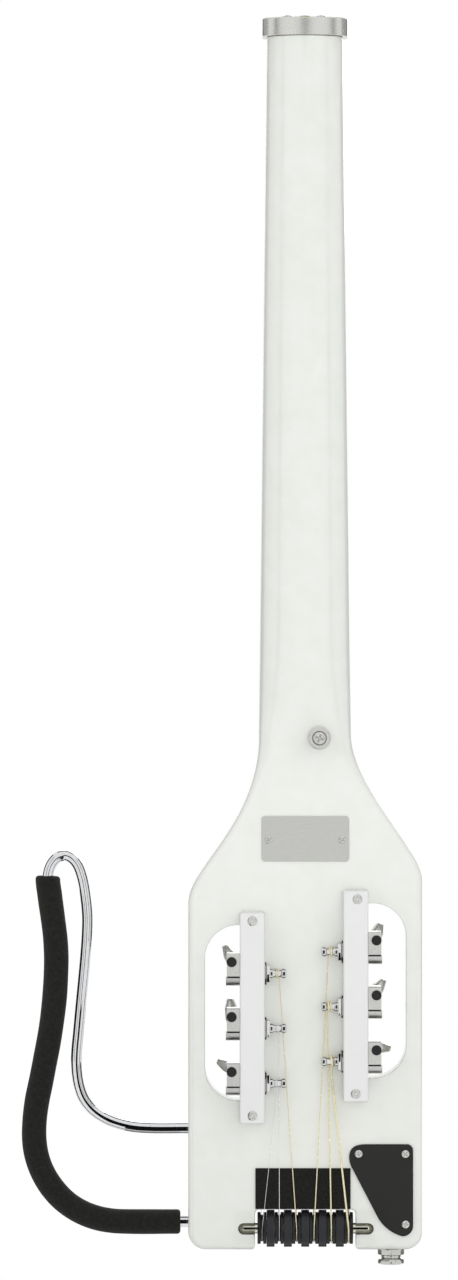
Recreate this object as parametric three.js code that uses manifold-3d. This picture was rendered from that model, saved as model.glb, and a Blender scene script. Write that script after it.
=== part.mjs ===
// A headless travel guitar whose tuners sit in the body, in millimetres.
// +Z runs from the butt to the head, +X to the right as seen from the back, +Y to the front.
// The origin lies on the flat back, on the centre line, straight behind the saddle.

import * as THREE from 'three';
import { mergeVertices } from 'three/addons/utils/BufferGeometryUtils.js';
import Module from 'manifold-3d';

const wasm = await Module();
wasm.setup();

// Sizes that the whole guitar follows.
const scaleLength = 628.65;
const overrun = 1;
const fit = 0.3;
const roundSides = 12;

// The body: a flat slab with soft edges, whose two shoulders start at different heights.
const body = { width: 133.1, thickness: 19, buttHeight: -57.3, cornerRadius: 10, edgeRadius: 3 };
const shoulders = {
  topHeight: 235.5,
  left: { endHeight: 139.7, topHandle: 51, endHandle: 21 },
  right: { endHeight: 153.4, topHandle: 29, endHandle: 15.4 },
};

// The neck runs right through the body. Its round back flattens out over the heel.
const neck = {
  aboveNut: 0.65,
  nutWidth: 43.3,
  heelWidth: 52.5,
  nutDepth: 14.7,
  heelDepth: 16.6,
  sideWall: 2.4,
  frontRadius: 0.5,
  blendTop: 292,
  blendEnd: 196,
};
const roundBackShare = 0.95;

// Rails that stand on the back and carry three tuners each.
const rail = { width: 14.2, length: 119.7, depth: 16, cornerRadius: 1.5, edgeRadius: 1.1 };
const sides = {
  left: { name: 'treble', toCentre: 1, innerFace: -23.1, railCentreHeight: 75.5, topPostHeight: 100.4 },
  right: { name: 'bass', toCentre: -1, innerFace: 21.3, railCentreHeight: 87.9, topPostHeight: 112.7 },
};

// A worm tuner. Its post lies across the rail and its button points to the front.
const tuner = {
  pitchAlongRail: 31.1,
  axisBack: 8.2,
  wormOut: 4.6,
  housingThickness: 7.9,
  housingWall: 0.55,
  housingHalfDepth: 7.5,
  housingTopRise: 4.8,
  housingStepDrop: 1.8,
  housingEndRadius: 6.8,
  housingCorner: 1.5,
};
const gear = { module: 0.64, width: 3.4, tipWidth: 0.4, rootWidth: 0.95 };
const rootShare = 1.25;
const gearTeeth = 16;
const worm = {
  pitchRadius: 1.83,
  threadLength: 6,
  rootWidth: 0.95,
  tipWidth: 0.36,
  coreRadius: 1.05,
  shaftRadius: 1.6,
  stepsPerTurn: 8,
};
const post = {
  reach: 12.2,
  journalRadius: 2.8,
  flangeRadius: 2.7,
  waistRadius: 2.1,
  baseStart: 3.3,
  waistStart: 4.4,
  waistEnd: 9.9,
  coneLength: 0.5,
  rimLength: 0.6,
};
const bushing = {
  washerRadius: 6.7,
  washerThickness: 1,
  hexAcrossFlats: 9.6,
  hexThickness: 2,
  sleeveRadius: 4.3,
  sleeveLength: 11,
};
const button = {
  span: 20,
  height: 14,
  hubThickness: 7,
  hubFlat: 2.2,
  tipThickness: 4,
  tipCorner: 0.8,
  startFront: 7,
  hubRadius: 3.3,
  collarRadius: 2.4,
  capRadius: 2.85,
  capRise: 0.6,
  capThickness: 0.4,
};
const wingShare = 0.75;
const earShare = 0.15;
const dipShare = 0.12;
const domeShare = 0.7;
const wingAngles = { left: [116, 95, 153], right: [69, 55, -8] };

// Windows beside the rails leave room to turn the buttons from both faces.
const windows = {
  cornerRadius: 19,
  innerRadius: 4,
  buttonGap: 1,
  left: { outer: -57.1, top: 127.4, bottom: 27.8 },
  right: { outer: 57.4, top: 139.8, bottom: 40.6 },
};

// Grooved rollers turn the strings round the butt, on one axle in a notch.
const notch = { halfWidth: 28.65, cornerRadius: 2.5, mouthRadius: 2.2, clearance: 0.4 };
const axle = {
  radius: 3.175,
  height: -45.45,
  front: 6,
  slotHalfWidth: 3.35,
  leftEnd: -38.5,
  rightEnd: 39.2,
  endPlay: 0.6,
  chamfer: 2,
};
const roller = {
  pitch: 9.85,
  width: 5.1,
  radius: 9.05,
  grooveRadius: 7.3,
  grooveFloor: 1.5,
  rim: 1.2,
  boreGap: 0.3,
};
const spacer = { radius: 10.6, gap: 0.3 };
const ramp = { floorBack: 3.6, length: 10.4 };

// Six strings from thin to thick, the last four wound. Each is taken up so far from the
// rail's inner face.
const gauge = { first: 0.26, second: 0.36, third: 0.56, fourth: 0.66, fifth: 0.91, sixth: 1.17 };
const takeUp = { first: 7.6, second: 8.2, third: 8.8, fourth: 8.8, fifth: 9.2, sixth: 7.2 };
const strings = [
  { diameter: gauge.first, side: 'left', postIndex: 2, takeUp: takeUp.first, turns: 3 },
  { diameter: gauge.second, side: 'left', postIndex: 1, takeUp: takeUp.second, turns: 3 },
  { diameter: gauge.third, side: 'left', postIndex: 0, takeUp: takeUp.third, turns: 2.25 },
  { diameter: gauge.fourth, side: 'right', postIndex: 0, takeUp: takeUp.fourth, turns: 2.25 },
  { diameter: gauge.fifth, side: 'right', postIndex: 1, takeUp: takeUp.fifth, turns: 1.75 },
  { diameter: gauge.sixth, side: 'right', postIndex: 2, takeUp: takeUp.sixth, turns: 1.25 },
];
const stringSet = {
  nutPitch: 7.2,
  saddlePitch: 10.4,
  turnGap: 0.45,
  ballRadius: 1.9,
  ballLength: 2,
  leastGap: 0.4,
};
const stringSides = 6;
const stepsPerTurn = 10;
const stepsRoundRoller = 9;

// Fingerboard, frets, nut and bridge on the front.
const board = { thickness: 6, crownRadius: 305, overhang: 6.5, gap: 0.1 };
const fret = { width: 2.4, height: 1.1, tang: 0.6, inset: 0.8, footRise: 0.03 };
const fretCount = 22;
const fretsPerOctave = 12;
const action = { atNut: 7.9, atSaddle: 10.2 };
const nut = { thickness: 4.8, rise: 0.5 };
const bridge = { halfWidth: 36, towardsHead: 6, towardsButt: 9, thickness: 6.4, cornerRadius: 3 };
const saddle = { thickness: 2.9, halfLength: 33, seatDepth: 4.4 };
const pickup = { thickness: 1.2, halfWidth: 1.1, leadRadius: 0.9, leadGap: 0.5, leadSide: 30, leadEnd: 3 };
const leadHeight = 0;
const trussRod = {
  radius: 3,
  slotHalfWidth: 3.4,
  slotDepth: 8.4,
  endHeight: 214,
  nutRadius: 3.5,
  nutProud: 1.4,
};
const trussAnchor = { length: 12, thickness: 6 };

// The aluminium cap on the head end, which holds the ball ends.
const cap = {
  halfWidth: 24.4,
  height: 10.3,
  back: 3,
  front: 29,
  backRadius: 11,
  frontRadius: 3,
  slotHalfWidth: 1.1,
  slotFloor: 23.2,
  pocketRadius: 2.3,
  pocketDepth: 2.2,
  stringFall: 2,
};

// Small things on the back.
const strapButton = { across: 7.9, height: 233.9, radius: 6.5, neckRadius: 4, tall: 10, rim: 2.2, foot: 2 };
const strapScrew = { shankRadius: 1.9, headRadius: 3.75, headDepth: 2, length: 24, sink: 1 };
const plate = { centreHeight: 176.6, halfWidth: 24.9, halfHeight: 12.95, thickness: 0.8, cornerRadius: 2 };
const pad = { left: -28.4, right: 25.7, top: -10.8, thickness: 1.5, edgeGap: 0.5 };

// The cover at the butt, over the cavity of the output socket.
const cover = {
  top: 2.85,
  right: 61.3,
  bottom: -49.5,
  left: 24.9,
  crownHeight: -4.6,
  crownRight: 34,
  slantTop: { across: 26.8, height: -11 },
  slantEnd: { across: 40.4, height: -37.3 },
  hook: { across: 45, height: -46.5 },
  toeAcross: 55,
  topRadius: 3.5,
  bottomRadius: 6,
  thickness: 1.6,
};
const cavity = { left: 42.5, right: 57, top: -1, bottom: -44, depth: 16, armDepth: 12, cornerRadius: 3 };
const cavityArm = { left: 27.5, top: 0.5, bottom: -6 };
const jack = {
  across: 49,
  barrelRadius: 5.3,
  barrelLength: 30,
  boreRadius: 3.3,
  boreDepth: 26,
  ringRadius: 7.5,
  ringLength: 3.4,
  waistRadius: 5.4,
  waistLength: 2.3,
  flangeRadius: 7.4,
  flangeLength: 3.2,
};

// The bent-rod leg rest, which slides into two sockets in the treble side.
const legRest = { rodRadius: 3.05, reach: 88, height: 208.9, lowerSocketHeight: -42.2 };
const legSocket = { depth: 25.5, clearance: 0.35 };
const legFoam = { radius: 7.15, boreGap: 0.35 };
const rodSides = 8;

// The rod's route, as shares of the reach from the body's side and of the height above the
// lower socket.
const rodRouteShares = [
  [0, 0.256], [0.246, 0.256], [0.368, 0.26], [0.473, 0.271], [0.56, 0.287], [0.63, 0.309],
  [0.682, 0.338], [0.708, 0.367], [0.722, 0.397], [0.728, 0.43], [0.725, 0.47], [0.715, 0.514],
  [0.699, 0.587], [0.682, 0.66], [0.666, 0.734], [0.657, 0.793], [0.656, 0.837], [0.668, 0.888],
  [0.69, 0.939], [0.722, 0.975], [0.76, 0.993], [0.803, 1], [0.848, 0.995], [0.888, 0.976],
];
const foamRouteShares = [
  [0.911, 0.944], [0.898, 0.888], [0.879, 0.829], [0.864, 0.778], [0.857, 0.727], [0.859, 0.675], [0.867, 0.617],
  [0.882, 0.558], [0.903, 0.499], [0.929, 0.441], [0.956, 0.382], [0.981, 0.331], [0.997, 0.279],
  [1, 0.228], [0.986, 0.184], [0.951, 0.14], [0.89, 0.096], [0.803, 0.056], [0.699, 0.027],
  [0.594, 0.01], [0.49, 0.002], [0.386, 0], [0.072, 0],
];

const halfWidth = body.width / 2;
const frontFace = body.thickness;
const midDepth = body.thickness / 2;
const notchTop = axle.height + spacer.radius + notch.clearance;
const neckTop = scaleLength + nut.thickness + neck.aboveNut;
const upperSocketHeight = legRest.lowerSocketHeight + rodRouteShares[0][1] * legRest.height;
const postPlaces = [0, 1, 2];
const hexSides = 6;
const turn = Math.PI * 2;
const quarter = Math.PI / 2;

// Solids from closed three.js geometry, for joining and cutting.

function trianglesOf(geometry) {
  const triangles = [];
  const index = geometry.index.array;
  for (let i = 0; i < index.length; i += 3) {
    const [a, b, c] = [index[i], index[i + 1], index[i + 2]];
    if (a !== b && b !== c && c !== a) triangles.push(a, b, c);
  }
  return triangles;
}

function manifoldOf(positions, triangles) {
  const mesh = new wasm.Mesh({
    numProp: 3,
    vertProperties: Float32Array.from(positions),
    triVerts: Uint32Array.from(triangles),
  });
  mesh.merge();
  return new wasm.Manifold(mesh);
}

function solidOf(geometry) {
  const bare = new THREE.BufferGeometry();
  bare.setAttribute('position', geometry.getAttribute('position').clone());
  if (geometry.index) bare.setIndex(geometry.index.clone());
  const merged = mergeVertices(bare);
  const triangles = trianglesOf(merged);
  const positions = merged.getAttribute('position').array;
  const solid = manifoldOf(positions, triangles);
  return solid.volume() < 0 ? manifoldOf(positions, triangles.reverse()) : solid;
}

function geometryOf(solid) {
  const mesh = solid.getMesh();
  const geometry = new THREE.BufferGeometry();
  geometry.setAttribute('position', new THREE.BufferAttribute(Float32Array.from(mesh.vertProperties), 3));
  geometry.setIndex(Array.from(mesh.triVerts));
  geometry.computeVertexNormals();
  return geometry;
}

function joined(...solids) {
  return solids.reduce((whole, next) => whole.add(next));
}

function cutBy(solid, ...cutters) {
  return cutters.reduce((rest, cutter) => rest.subtract(cutter), solid);
}

// Placing: an outline's own axes stay (x, y) along Z, become (x, z) along Y, or (y, z)
// along X.

const alongX = new THREE.Matrix4().makeBasis(
  new THREE.Vector3(0, 1, 0),
  new THREE.Vector3(0, 0, 1),
  new THREE.Vector3(1, 0, 0),
);
const alongY = new THREE.Matrix4().makeBasis(
  new THREE.Vector3(1, 0, 0),
  new THREE.Vector3(0, 0, 1),
  new THREE.Vector3(0, -1, 0),
);

function extruded(shape, length, curveSegments = 6) {
  return new THREE.ExtrudeGeometry(shape, { depth: length, bevelEnabled: false, curveSegments });
}

function slabY(shape, back, front, curveSegments) {
  const geometry = extruded(shape, front - back, curveSegments).applyMatrix4(alongY);
  return solidOf(geometry.translate(0, front, 0));
}

function barX(shape, from, to, curveSegments) {
  const geometry = extruded(shape, to - from, curveSegments).applyMatrix4(alongX);
  return solidOf(geometry.translate(from, 0, 0));
}

function barZ(shape, from, to, curveSegments) {
  return solidOf(extruded(shape, to - from, curveSegments).translate(0, 0, from));
}

// A turned piece: the profile is a list of [place along the axis, radius], closed by the
// axis itself.
function turnedGeometry(profile, segments = roundSides) {
  const points = profile.map(([along, radius]) => new THREE.Vector2(radius, along));
  return new THREE.LatheGeometry(points, segments);
}

function turnedX(profile, segments) {
  return solidOf(turnedGeometry(profile, segments).rotateZ(-quarter));
}

function turnedY(profile, segments) {
  return solidOf(turnedGeometry(profile, segments));
}

function turnedZ(profile, segments) {
  return solidOf(turnedGeometry(profile, segments).rotateX(quarter));
}

function rodProfile(from, to, radius) {
  return [[from, 0], [from, radius], [to, radius], [to, 0]];
}

function sleeveProfile(from, to, radius, boreRadius) {
  return [[from, boreRadius], [from, radius], [to, radius], [to, boreRadius], [from, boreRadius]];
}

function moved(geometry, x, y, z) {
  return geometry.translate(x, y, z);
}

function shifted(solid, x, y, z) {
  return solidOf(moved(geometryOf(solid), x, y, z));
}

// Outlines.

function cornerRectangle(left, bottom, right, top, radii) {
  const { bottomLeft, bottomRight, topRight, topLeft } = radii;
  const shape = new THREE.Shape();
  shape.moveTo(left + bottomLeft, bottom);
  shape.lineTo(right - bottomRight, bottom);
  shape.absarc(right - bottomRight, bottom + bottomRight, bottomRight, -quarter, 0, false);
  shape.lineTo(right, top - topRight);
  shape.absarc(right - topRight, top - topRight, topRight, 0, quarter, false);
  shape.lineTo(left + topLeft, top);
  shape.absarc(left + topLeft, top - topLeft, topLeft, quarter, Math.PI, false);
  shape.lineTo(left, bottom + bottomLeft);
  shape.absarc(left + bottomLeft, bottom + bottomLeft, bottomLeft, Math.PI, Math.PI + quarter, false);
  return shape;
}

function roundedRectangle(left, bottom, right, top, radius) {
  const radii = { bottomLeft: radius, bottomRight: radius, topRight: radius, topLeft: radius };
  return cornerRectangle(left, bottom, right, top, radii);
}

function polygon(points) {
  return new THREE.Shape(points.map(([across, up]) => new THREE.Vector2(across, up)));
}

function box(left, back, bottom, right, front, top) {
  return slabY(polygon([[left, bottom], [right, bottom], [right, top], [left, top]]), back, front);
}

// Skins over rings of points, with flat ends, or joined end to end where the rings close on
// themselves.
function skinOver(rings, closed = false) {
  const count = rings[0].length;
  const positions = rings.flat().flatMap((point) => [point.x, point.y, point.z]);
  const index = [];
  const bands = closed ? rings.length : rings.length - 1;
  for (let band = 0; band < bands; band += 1) {
    const here = band * count;
    const there = ((band + 1) % rings.length) * count;
    for (let i = 0; i < count; i += 1) {
      const next = (i + 1) % count;
      index.push(here + i, here + next, there + next, here + i, there + next, there + i);
    }
  }
  if (!closed) {
    const last = (rings.length - 1) * count;
    for (let i = 1; i < count - 1; i += 1) {
      index.push(0, i + 1, i, last, last + i, last + i + 1);
    }
  }
  const geometry = new THREE.BufferGeometry();
  geometry.setAttribute('position', new THREE.Float32BufferAttribute(positions, 3));
  geometry.setIndex(index);
  return geometry;
}

// Rings square to a path, kept from twisting by carrying one normal along it.
function ringsAlong(path, radii, count) {
  const normal = new THREE.Vector3(0, 1, 0);
  if (Math.abs(path[1].y - path[0].y) > path[1].distanceTo(path[0]) / 2) normal.set(1, 0, 0);
  return path.map((point, i) => {
    const before = path[Math.max(i - 1, 0)];
    const after = path[Math.min(i + 1, path.length - 1)];
    const tangent = new THREE.Vector3().subVectors(after, before).normalize();
    normal.addScaledVector(tangent, -normal.dot(tangent)).normalize();
    const sideways = new THREE.Vector3().crossVectors(tangent, normal);
    return Array.from({ length: count }, (_, k) => {
      const angle = (k / count) * turn;
      return new THREE.Vector3()
        .copy(point)
        .addScaledVector(normal, radii[i] * Math.cos(angle))
        .addScaledVector(sideways, radii[i] * Math.sin(angle));
    });
  });
}

function rodAlong(path, radius, count) {
  return solidOf(skinOver(ringsAlong(path, path.map(() => radius), count)));
}

function sleeveAlong(path, radius, boreRadius, count) {
  const outer = ringsAlong(path, path.map(() => radius), count);
  const inner = ringsAlong(path, path.map(() => boreRadius), count).reverse();
  return solidOf(skinOver([...outer, ...inner], true));
}

// Body and neck in one.

function smooth(share) {
  const held = Math.min(Math.max(share, 0), 1);
  return held * held * (3 - 2 * held);
}

function mix(from, to, share) {
  return from + (to - from) * share;
}

function neckHalfWidth(height) {
  const share = (scaleLength - height) / (scaleLength - shoulders.topHeight);
  return mix(neck.nutWidth, neck.heelWidth, share) / 2;
}

function shoulderHalfWidth(shoulder, height) {
  const curve = new THREE.CubicBezierCurve(
    new THREE.Vector2(neckHalfWidth(shoulders.topHeight), shoulders.topHeight),
    new THREE.Vector2(neckHalfWidth(shoulders.topHeight), shoulders.topHeight - shoulder.topHandle),
    new THREE.Vector2(halfWidth, shoulder.endHeight + shoulder.endHandle),
    new THREE.Vector2(halfWidth, shoulder.endHeight),
  );
  let [low, high] = [0, 1];
  for (let step = 0; step < 30; step += 1) {
    const middle = (low + high) / 2;
    if (curve.getPoint(middle).y > height) low = middle;
    else high = middle;
  }
  return curve.getPoint((low + high) / 2).x;
}

function outlineHalfWidth(shoulder, height) {
  if (height >= shoulders.topHeight) return neckHalfWidth(height);
  if (height >= shoulder.endHeight) return shoulderHalfWidth(shoulder, height);
  const intoCorner = Math.max(body.buttHeight + body.cornerRadius - height, 0);
  const bow = Math.sqrt(Math.max(body.cornerRadius ** 2 - intoCorner ** 2, 0));
  return halfWidth - body.cornerRadius + bow;
}

function cornerOf(across, deep, radiusAcross, radiusDeep, startAngle, steps, height) {
  return Array.from({ length: steps + 1 }, (_, i) => {
    const angle = startAngle + (i / steps) * quarter;
    const x = across + radiusAcross * Math.cos(angle);
    const y = deep + radiusDeep * Math.sin(angle);
    return new THREE.Vector3(x, y, height);
  });
}

function bodyRing(height, edgeInset) {
  const left = -outlineHalfWidth(shoulders.left, height);
  const right = outlineHalfWidth(shoulders.right, height);
  const flatness = smooth((neck.blendTop - height) / (neck.blendTop - neck.blendEnd));
  const along = (neckTop - height) / (neckTop - neck.blendTop);
  const depth = mix(mix(neck.nutDepth, neck.heelDepth, Math.min(along, 1)), body.thickness, flatness);
  const back = frontFace - depth + edgeInset;
  const front = frontFace - edgeInset;
  const across = mix(Math.min(-left, right) * roundBackShare, body.edgeRadius, flatness);
  const deep = mix(depth - neck.sideWall, body.edgeRadius, flatness);
  const nose = mix(neck.frontRadius, body.edgeRadius, flatness);
  return [
    ...cornerOf(right - nose, front - nose, nose, nose, 0, 2, height),
    ...cornerOf(left + nose, front - nose, nose, nose, quarter, 2, height),
    ...cornerOf(left + across, back + deep, across, deep, Math.PI, 4, height),
    ...cornerOf(right - across, back + deep, across, deep, Math.PI + quarter, 4, height),
  ];
}

function evenly(from, to, count) {
  return Array.from({ length: count }, (_, i) => mix(from, to, i / count));
}

function bodyBlank() {
  const heights = [
    ...evenly(neckTop, neck.blendTop, 3),
    ...evenly(neck.blendTop, neck.blendEnd, 8),
    ...evenly(neck.blendEnd, shoulders.left.endHeight, 7),
    shoulders.left.endHeight,
  ];
  const cornerSteps = 5;
  const rings = heights.map((height) => bodyRing(height, 0));
  for (let i = 0; i <= cornerSteps; i += 1) {
    const angle = (i / cornerSteps) * quarter;
    const height = body.buttHeight + body.cornerRadius * (1 - Math.sin(angle));
    const intoEdge = Math.max(body.buttHeight + body.edgeRadius / 2 - height, 0);
    rings.push(bodyRing(height, intoEdge));
  }
  return solidOf(skinOver(rings));
}

function windowCut(side) {
  const { toCentre, innerFace } = sides[side];
  const opening = windows[side];
  const wormAcross = innerFace - toCentre * (rail.width + tuner.wormOut);
  const inner = wormAcross + toCentre * (button.span / 2 + windows.buttonGap);
  const [big, small] = [windows.cornerRadius, windows.innerRadius];
  const outerLeft = { bottomLeft: big, topLeft: big, bottomRight: small, topRight: small };
  const outerRight = { bottomLeft: small, topLeft: small, bottomRight: big, topRight: big };
  const outline = toCentre > 0
    ? cornerRectangle(opening.outer, opening.bottom, inner, opening.top, outerLeft)
    : cornerRectangle(inner, opening.bottom, opening.outer, opening.top, outerRight);
  return slabY(outline, -overrun, frontFace + overrun, 6);
}

// The notch's outline widens by a round corner on each side where it meets the butt.
function notchCut() {
  const { halfWidth: half, cornerRadius: corner, mouthRadius: mouth } = notch;
  const butt = body.buttHeight;
  const outline = new THREE.Shape();
  outline.moveTo(-half - mouth, butt - overrun);
  outline.lineTo(half + mouth, butt - overrun);
  outline.lineTo(half + mouth, butt);
  outline.absarc(half + mouth, butt + mouth, mouth, -quarter, -Math.PI, true);
  outline.lineTo(half, notchTop - corner);
  outline.absarc(half - corner, notchTop - corner, corner, 0, quarter, false);
  outline.lineTo(-half + corner, notchTop);
  outline.absarc(-half + corner, notchTop - corner, corner, quarter, Math.PI, false);
  outline.lineTo(-half, butt + mouth);
  outline.absarc(-half - mouth, butt + mouth, mouth, 0, -quarter, true);
  return slabY(outline, -overrun, frontFace + overrun, 3);
}

function axleSlotCut() {
  const { slotHalfWidth: half, leftEnd, rightEnd, height } = axle;
  const outline = roundedRectangle(leftEnd, height - half, rightEnd, height + half, half);
  return slabY(outline, -overrun, axle.front + half, 4);
}

function stringRampCut() {
  const floor = frontFace - ramp.floorBack;
  const past = notchTop - overrun;
  const outline = polygon([
    [floor - overrun * (ramp.floorBack / ramp.length), past],
    [frontFace + overrun, past],
    [frontFace + overrun, notchTop + ramp.length * (1 + overrun / ramp.floorBack)],
  ]);
  return barX(outline, -notch.halfWidth, notch.halfWidth);
}

function trussSlotCut() {
  const half = trussRod.slotHalfWidth;
  const floor = frontFace - trussRod.slotDepth;
  return box(-half, floor, trussRod.endHeight, half, frontFace + overrun, neckTop + overrun);
}

function cavityCut() {
  const { left, right, top, bottom, cornerRadius } = cavity;
  const room = slabY(roundedRectangle(left, bottom, right, top, cornerRadius), -overrun, cavity.depth, 3);
  const arm = box(
    cavityArm.left, -overrun, cavityArm.bottom, right - cornerRadius, cavity.armDepth, cavityArm.top,
  );
  const lead = turnedY(rodProfile(-overrun, frontFace + overrun, pickup.leadRadius + pickup.leadGap), 8);
  const leadHole = shifted(lead, pickup.leadSide, 0, leadHeight);
  return joined(room, arm, leadHole);
}

function jackBoreCut() {
  const top = cavity.bottom + overrun;
  const bore = turnedZ(rodProfile(body.buttHeight - overrun, top, jack.barrelRadius + fit), 10);
  return shifted(bore, jack.across, midDepth, 0);
}

function legSocketCut(height) {
  const radius = legRest.rodRadius + legSocket.clearance;
  const bore = turnedX(rodProfile(-halfWidth - overrun, -halfWidth + legSocket.depth, radius), 8);
  return shifted(bore, 0, midDepth, height);
}

function strapScrewCut() {
  const depth = strapScrew.length - strapButton.tall + strapScrew.sink;
  const hole = turnedY(rodProfile(-overrun, depth, strapScrew.shankRadius + fit), 8);
  return shifted(hole, strapButton.across, 0, strapButton.height);
}

function neckBody() {
  return cutBy(
    bodyBlank(),
    windowCut('left'),
    windowCut('right'),
    notchCut(),
    axleSlotCut(),
    stringRampCut(),
    trussSlotCut(),
    cavityCut(),
    jackBoreCut(),
    legSocketCut(upperSocketHeight),
    legSocketCut(legRest.lowerSocketHeight),
    strapScrewCut(),
  );
}

// Neck fittings.

function fretHeight(number) {
  return scaleLength * 2 ** (-number / fretsPerOctave);
}

// An arched strip across the board, crowned like the board's face.
function crownedRing(height, half, thickness, base) {
  const steps = 3;
  const face = Array.from({ length: steps + 1 }, (_, i) => {
    const across = mix(half, -half, i / steps);
    const fall = board.crownRadius - Math.sqrt(board.crownRadius ** 2 - across ** 2);
    return new THREE.Vector3(across, frontFace + thickness - fall, height);
  });
  return [...face, new THREE.Vector3(-half, base, height), new THREE.Vector3(half, base, height)];
}

function fretBar(number) {
  const height = fretHeight(number);
  const half = neckHalfWidth(height) - fret.inset;
  const base = frontFace + board.thickness - fret.tang - fret.height;
  const foot = board.thickness + fret.footRise;
  const rings = [
    crownedRing(height - fret.width / 2, half, foot, base),
    crownedRing(height, half, board.thickness + fret.height, base),
    crownedRing(height + fret.width / 2, half, foot, base),
  ];
  return solidOf(skinOver(rings));
}

function fingerboard() {
  const foot = fretHeight(fretCount) - board.overhang;
  const rings = [scaleLength - board.gap, foot].map((height) => (
    crownedRing(height, neckHalfWidth(height), board.thickness, frontFace)
  ));
  const frets = Array.from({ length: fretCount }, (_, i) => fretBar(i + 1));
  return joined(solidOf(skinOver(rings)), ...frets);
}

function stringAcrossNut(index) {
  return (index - (strings.length - 1) / 2) * stringSet.nutPitch;
}

function stringAcrossSaddle(index) {
  return (index - (strings.length - 1) / 2) * stringSet.saddlePitch;
}

function stringAcrossRoller(index) {
  return (index - (strings.length - 1) / 2) * roller.pitch;
}

function nutPiece() {
  const top = frontFace + action.atNut + nut.rise;
  const half = neckHalfWidth(scaleLength);
  const blank = box(-half, frontFace, scaleLength, half, top, scaleLength + nut.thickness);
  const slots = strings.map((string, i) => {
    const wide = string.diameter / 2 + fit;
    const across = stringAcrossNut(i);
    const [low, high] = [scaleLength - overrun, scaleLength + nut.thickness + overrun];
    return box(across - wide, frontFace + action.atNut - fit, low, across + wide, top + overrun, high);
  });
  return cutBy(blank, ...slots);
}

function bridgePiece() {
  const { halfWidth: wide, towardsButt, towardsHead, cornerRadius } = bridge;
  const outline = roundedRectangle(-wide, -towardsButt, wide, towardsHead, cornerRadius);
  const top = frontFace + bridge.thickness;
  const seat = top - saddle.seatDepth;
  const [long, narrow] = [saddle.halfLength + fit, saddle.thickness / 2 + fit];
  const slot = box(-long, seat, -narrow, long, top + overrun, narrow);
  const leadRadius = pickup.leadRadius + pickup.leadGap;
  const lead = turnedY(rodProfile(frontFace - overrun, seat + overrun, leadRadius), 8);
  return cutBy(slabY(outline, frontFace, top, 3), slot, shifted(lead, pickup.leadSide, 0, leadHeight));
}

function saddlePiece() {
  const seat = frontFace + bridge.thickness - saddle.seatDepth + pickup.thickness + fit;
  const [long, wide] = [saddle.halfLength, saddle.thickness / 2];
  const top = frontFace + action.atSaddle - fit;
  const outline = polygon([[seat, -wide], [top - wide, -wide], [top, 0], [top - wide, wide], [seat, wide]]);
  return barX(outline, -long, long);
}

function pickupPiece() {
  const seat = frontFace + bridge.thickness - saddle.seatDepth;
  const long = saddle.halfLength - fit;
  const strip = box(-long, seat, -pickup.halfWidth, long, seat + pickup.thickness, pickup.halfWidth);
  const lead = turnedY(rodProfile(pickup.leadEnd, seat + pickup.thickness / 2, pickup.leadRadius), 6);
  return joined(strip, shifted(lead, pickup.leadSide, 0, leadHeight));
}

function trussRodPiece() {
  const centre = frontFace - trussRod.slotDepth + trussRod.slotHalfWidth;
  const top = neckTop + fit + cap.height + trussRod.nutProud;
  const rod = turnedZ(rodProfile(trussRod.endHeight + fit, top, trussRod.radius), 8);
  const low = trussRod.endHeight + fit;
  const half = trussRod.slotHalfWidth - fit;
  const thick = trussAnchor.thickness / 2;
  const foot = box(-half, -thick, low, half, thick, low + trussAnchor.length);
  const head = turnedZ(rodProfile(neckTop + fit, top, trussRod.nutRadius), hexSides);
  return shifted(joined(rod, foot, head), 0, centre, 0);
}

// The cap's outline is a D: its flat side faces the front.
function endCap() {
  const low = neckTop + fit;
  const top = low + cap.height;
  const { backRadius, frontRadius } = cap;
  const outline = cornerRectangle(-cap.halfWidth, cap.back, cap.halfWidth, cap.front, {
    bottomLeft: backRadius,
    bottomRight: backRadius,
    topRight: frontRadius,
    topLeft: frontRadius,
  });
  const centre = frontFace - trussRod.slotDepth + trussRod.slotHalfWidth;
  const nutHole = turnedZ(rodProfile(low - overrun, top + overrun, trussRod.nutRadius + fit), 12);
  const slots = strings.map((string, i) => {
    const across = stringAcrossNut(i);
    const [left, right] = [across - cap.slotHalfWidth, across + cap.slotHalfWidth];
    return box(left, cap.slotFloor, low - overrun, right, cap.front + overrun, top + overrun);
  });
  const pockets = strings.map((string, i) => {
    const pocket = turnedZ(rodProfile(top - cap.pocketDepth, top + overrun, cap.pocketRadius), 6);
    return shifted(pocket, stringAcrossNut(i), ballFront(), 0);
  });
  return cutBy(barZ(outline, low, top, 5), shifted(nutHole, 0, centre, 0), ...slots, ...pockets);
}

// Pieces on the back.

function raisedBar(outline, height, edge) {
  const geometry = new THREE.ExtrudeGeometry(outline, {
    depth: height,
    bevelEnabled: true,
    bevelThickness: edge,
    bevelSize: edge,
    bevelOffset: -edge,
    bevelSegments: 2,
    curveSegments: 3,
  });
  return solidOf(geometry.applyMatrix4(alongY));
}

function railPiece(side) {
  const { toCentre, innerFace, railCentreHeight, topPostHeight } = sides[side];
  const outerFace = innerFace - toCentre * rail.width;
  const [left, right] = [Math.min(innerFace, outerFace), Math.max(innerFace, outerFace)];
  const [low, high] = [railCentreHeight - rail.length / 2, railCentreHeight + rail.length / 2];
  const outline = roundedRectangle(left, low, right, high, rail.cornerRadius);
  const bar = raisedBar(outline, rail.depth - rail.edgeRadius, rail.edgeRadius);
  const below = box(left - overrun, 0, low - overrun, right + overrun, rail.depth, high + overrun);
  const bores = postPlaces.map((index) => {
    const bore = turnedX(rodProfile(left - overrun, right + overrun, bushing.sleeveRadius + fit), 12);
    return shifted(bore, 0, -tuner.axisBack, topPostHeight - index * tuner.pitchAlongRail);
  });
  return cutBy(bar, below, ...bores);
}

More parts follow.
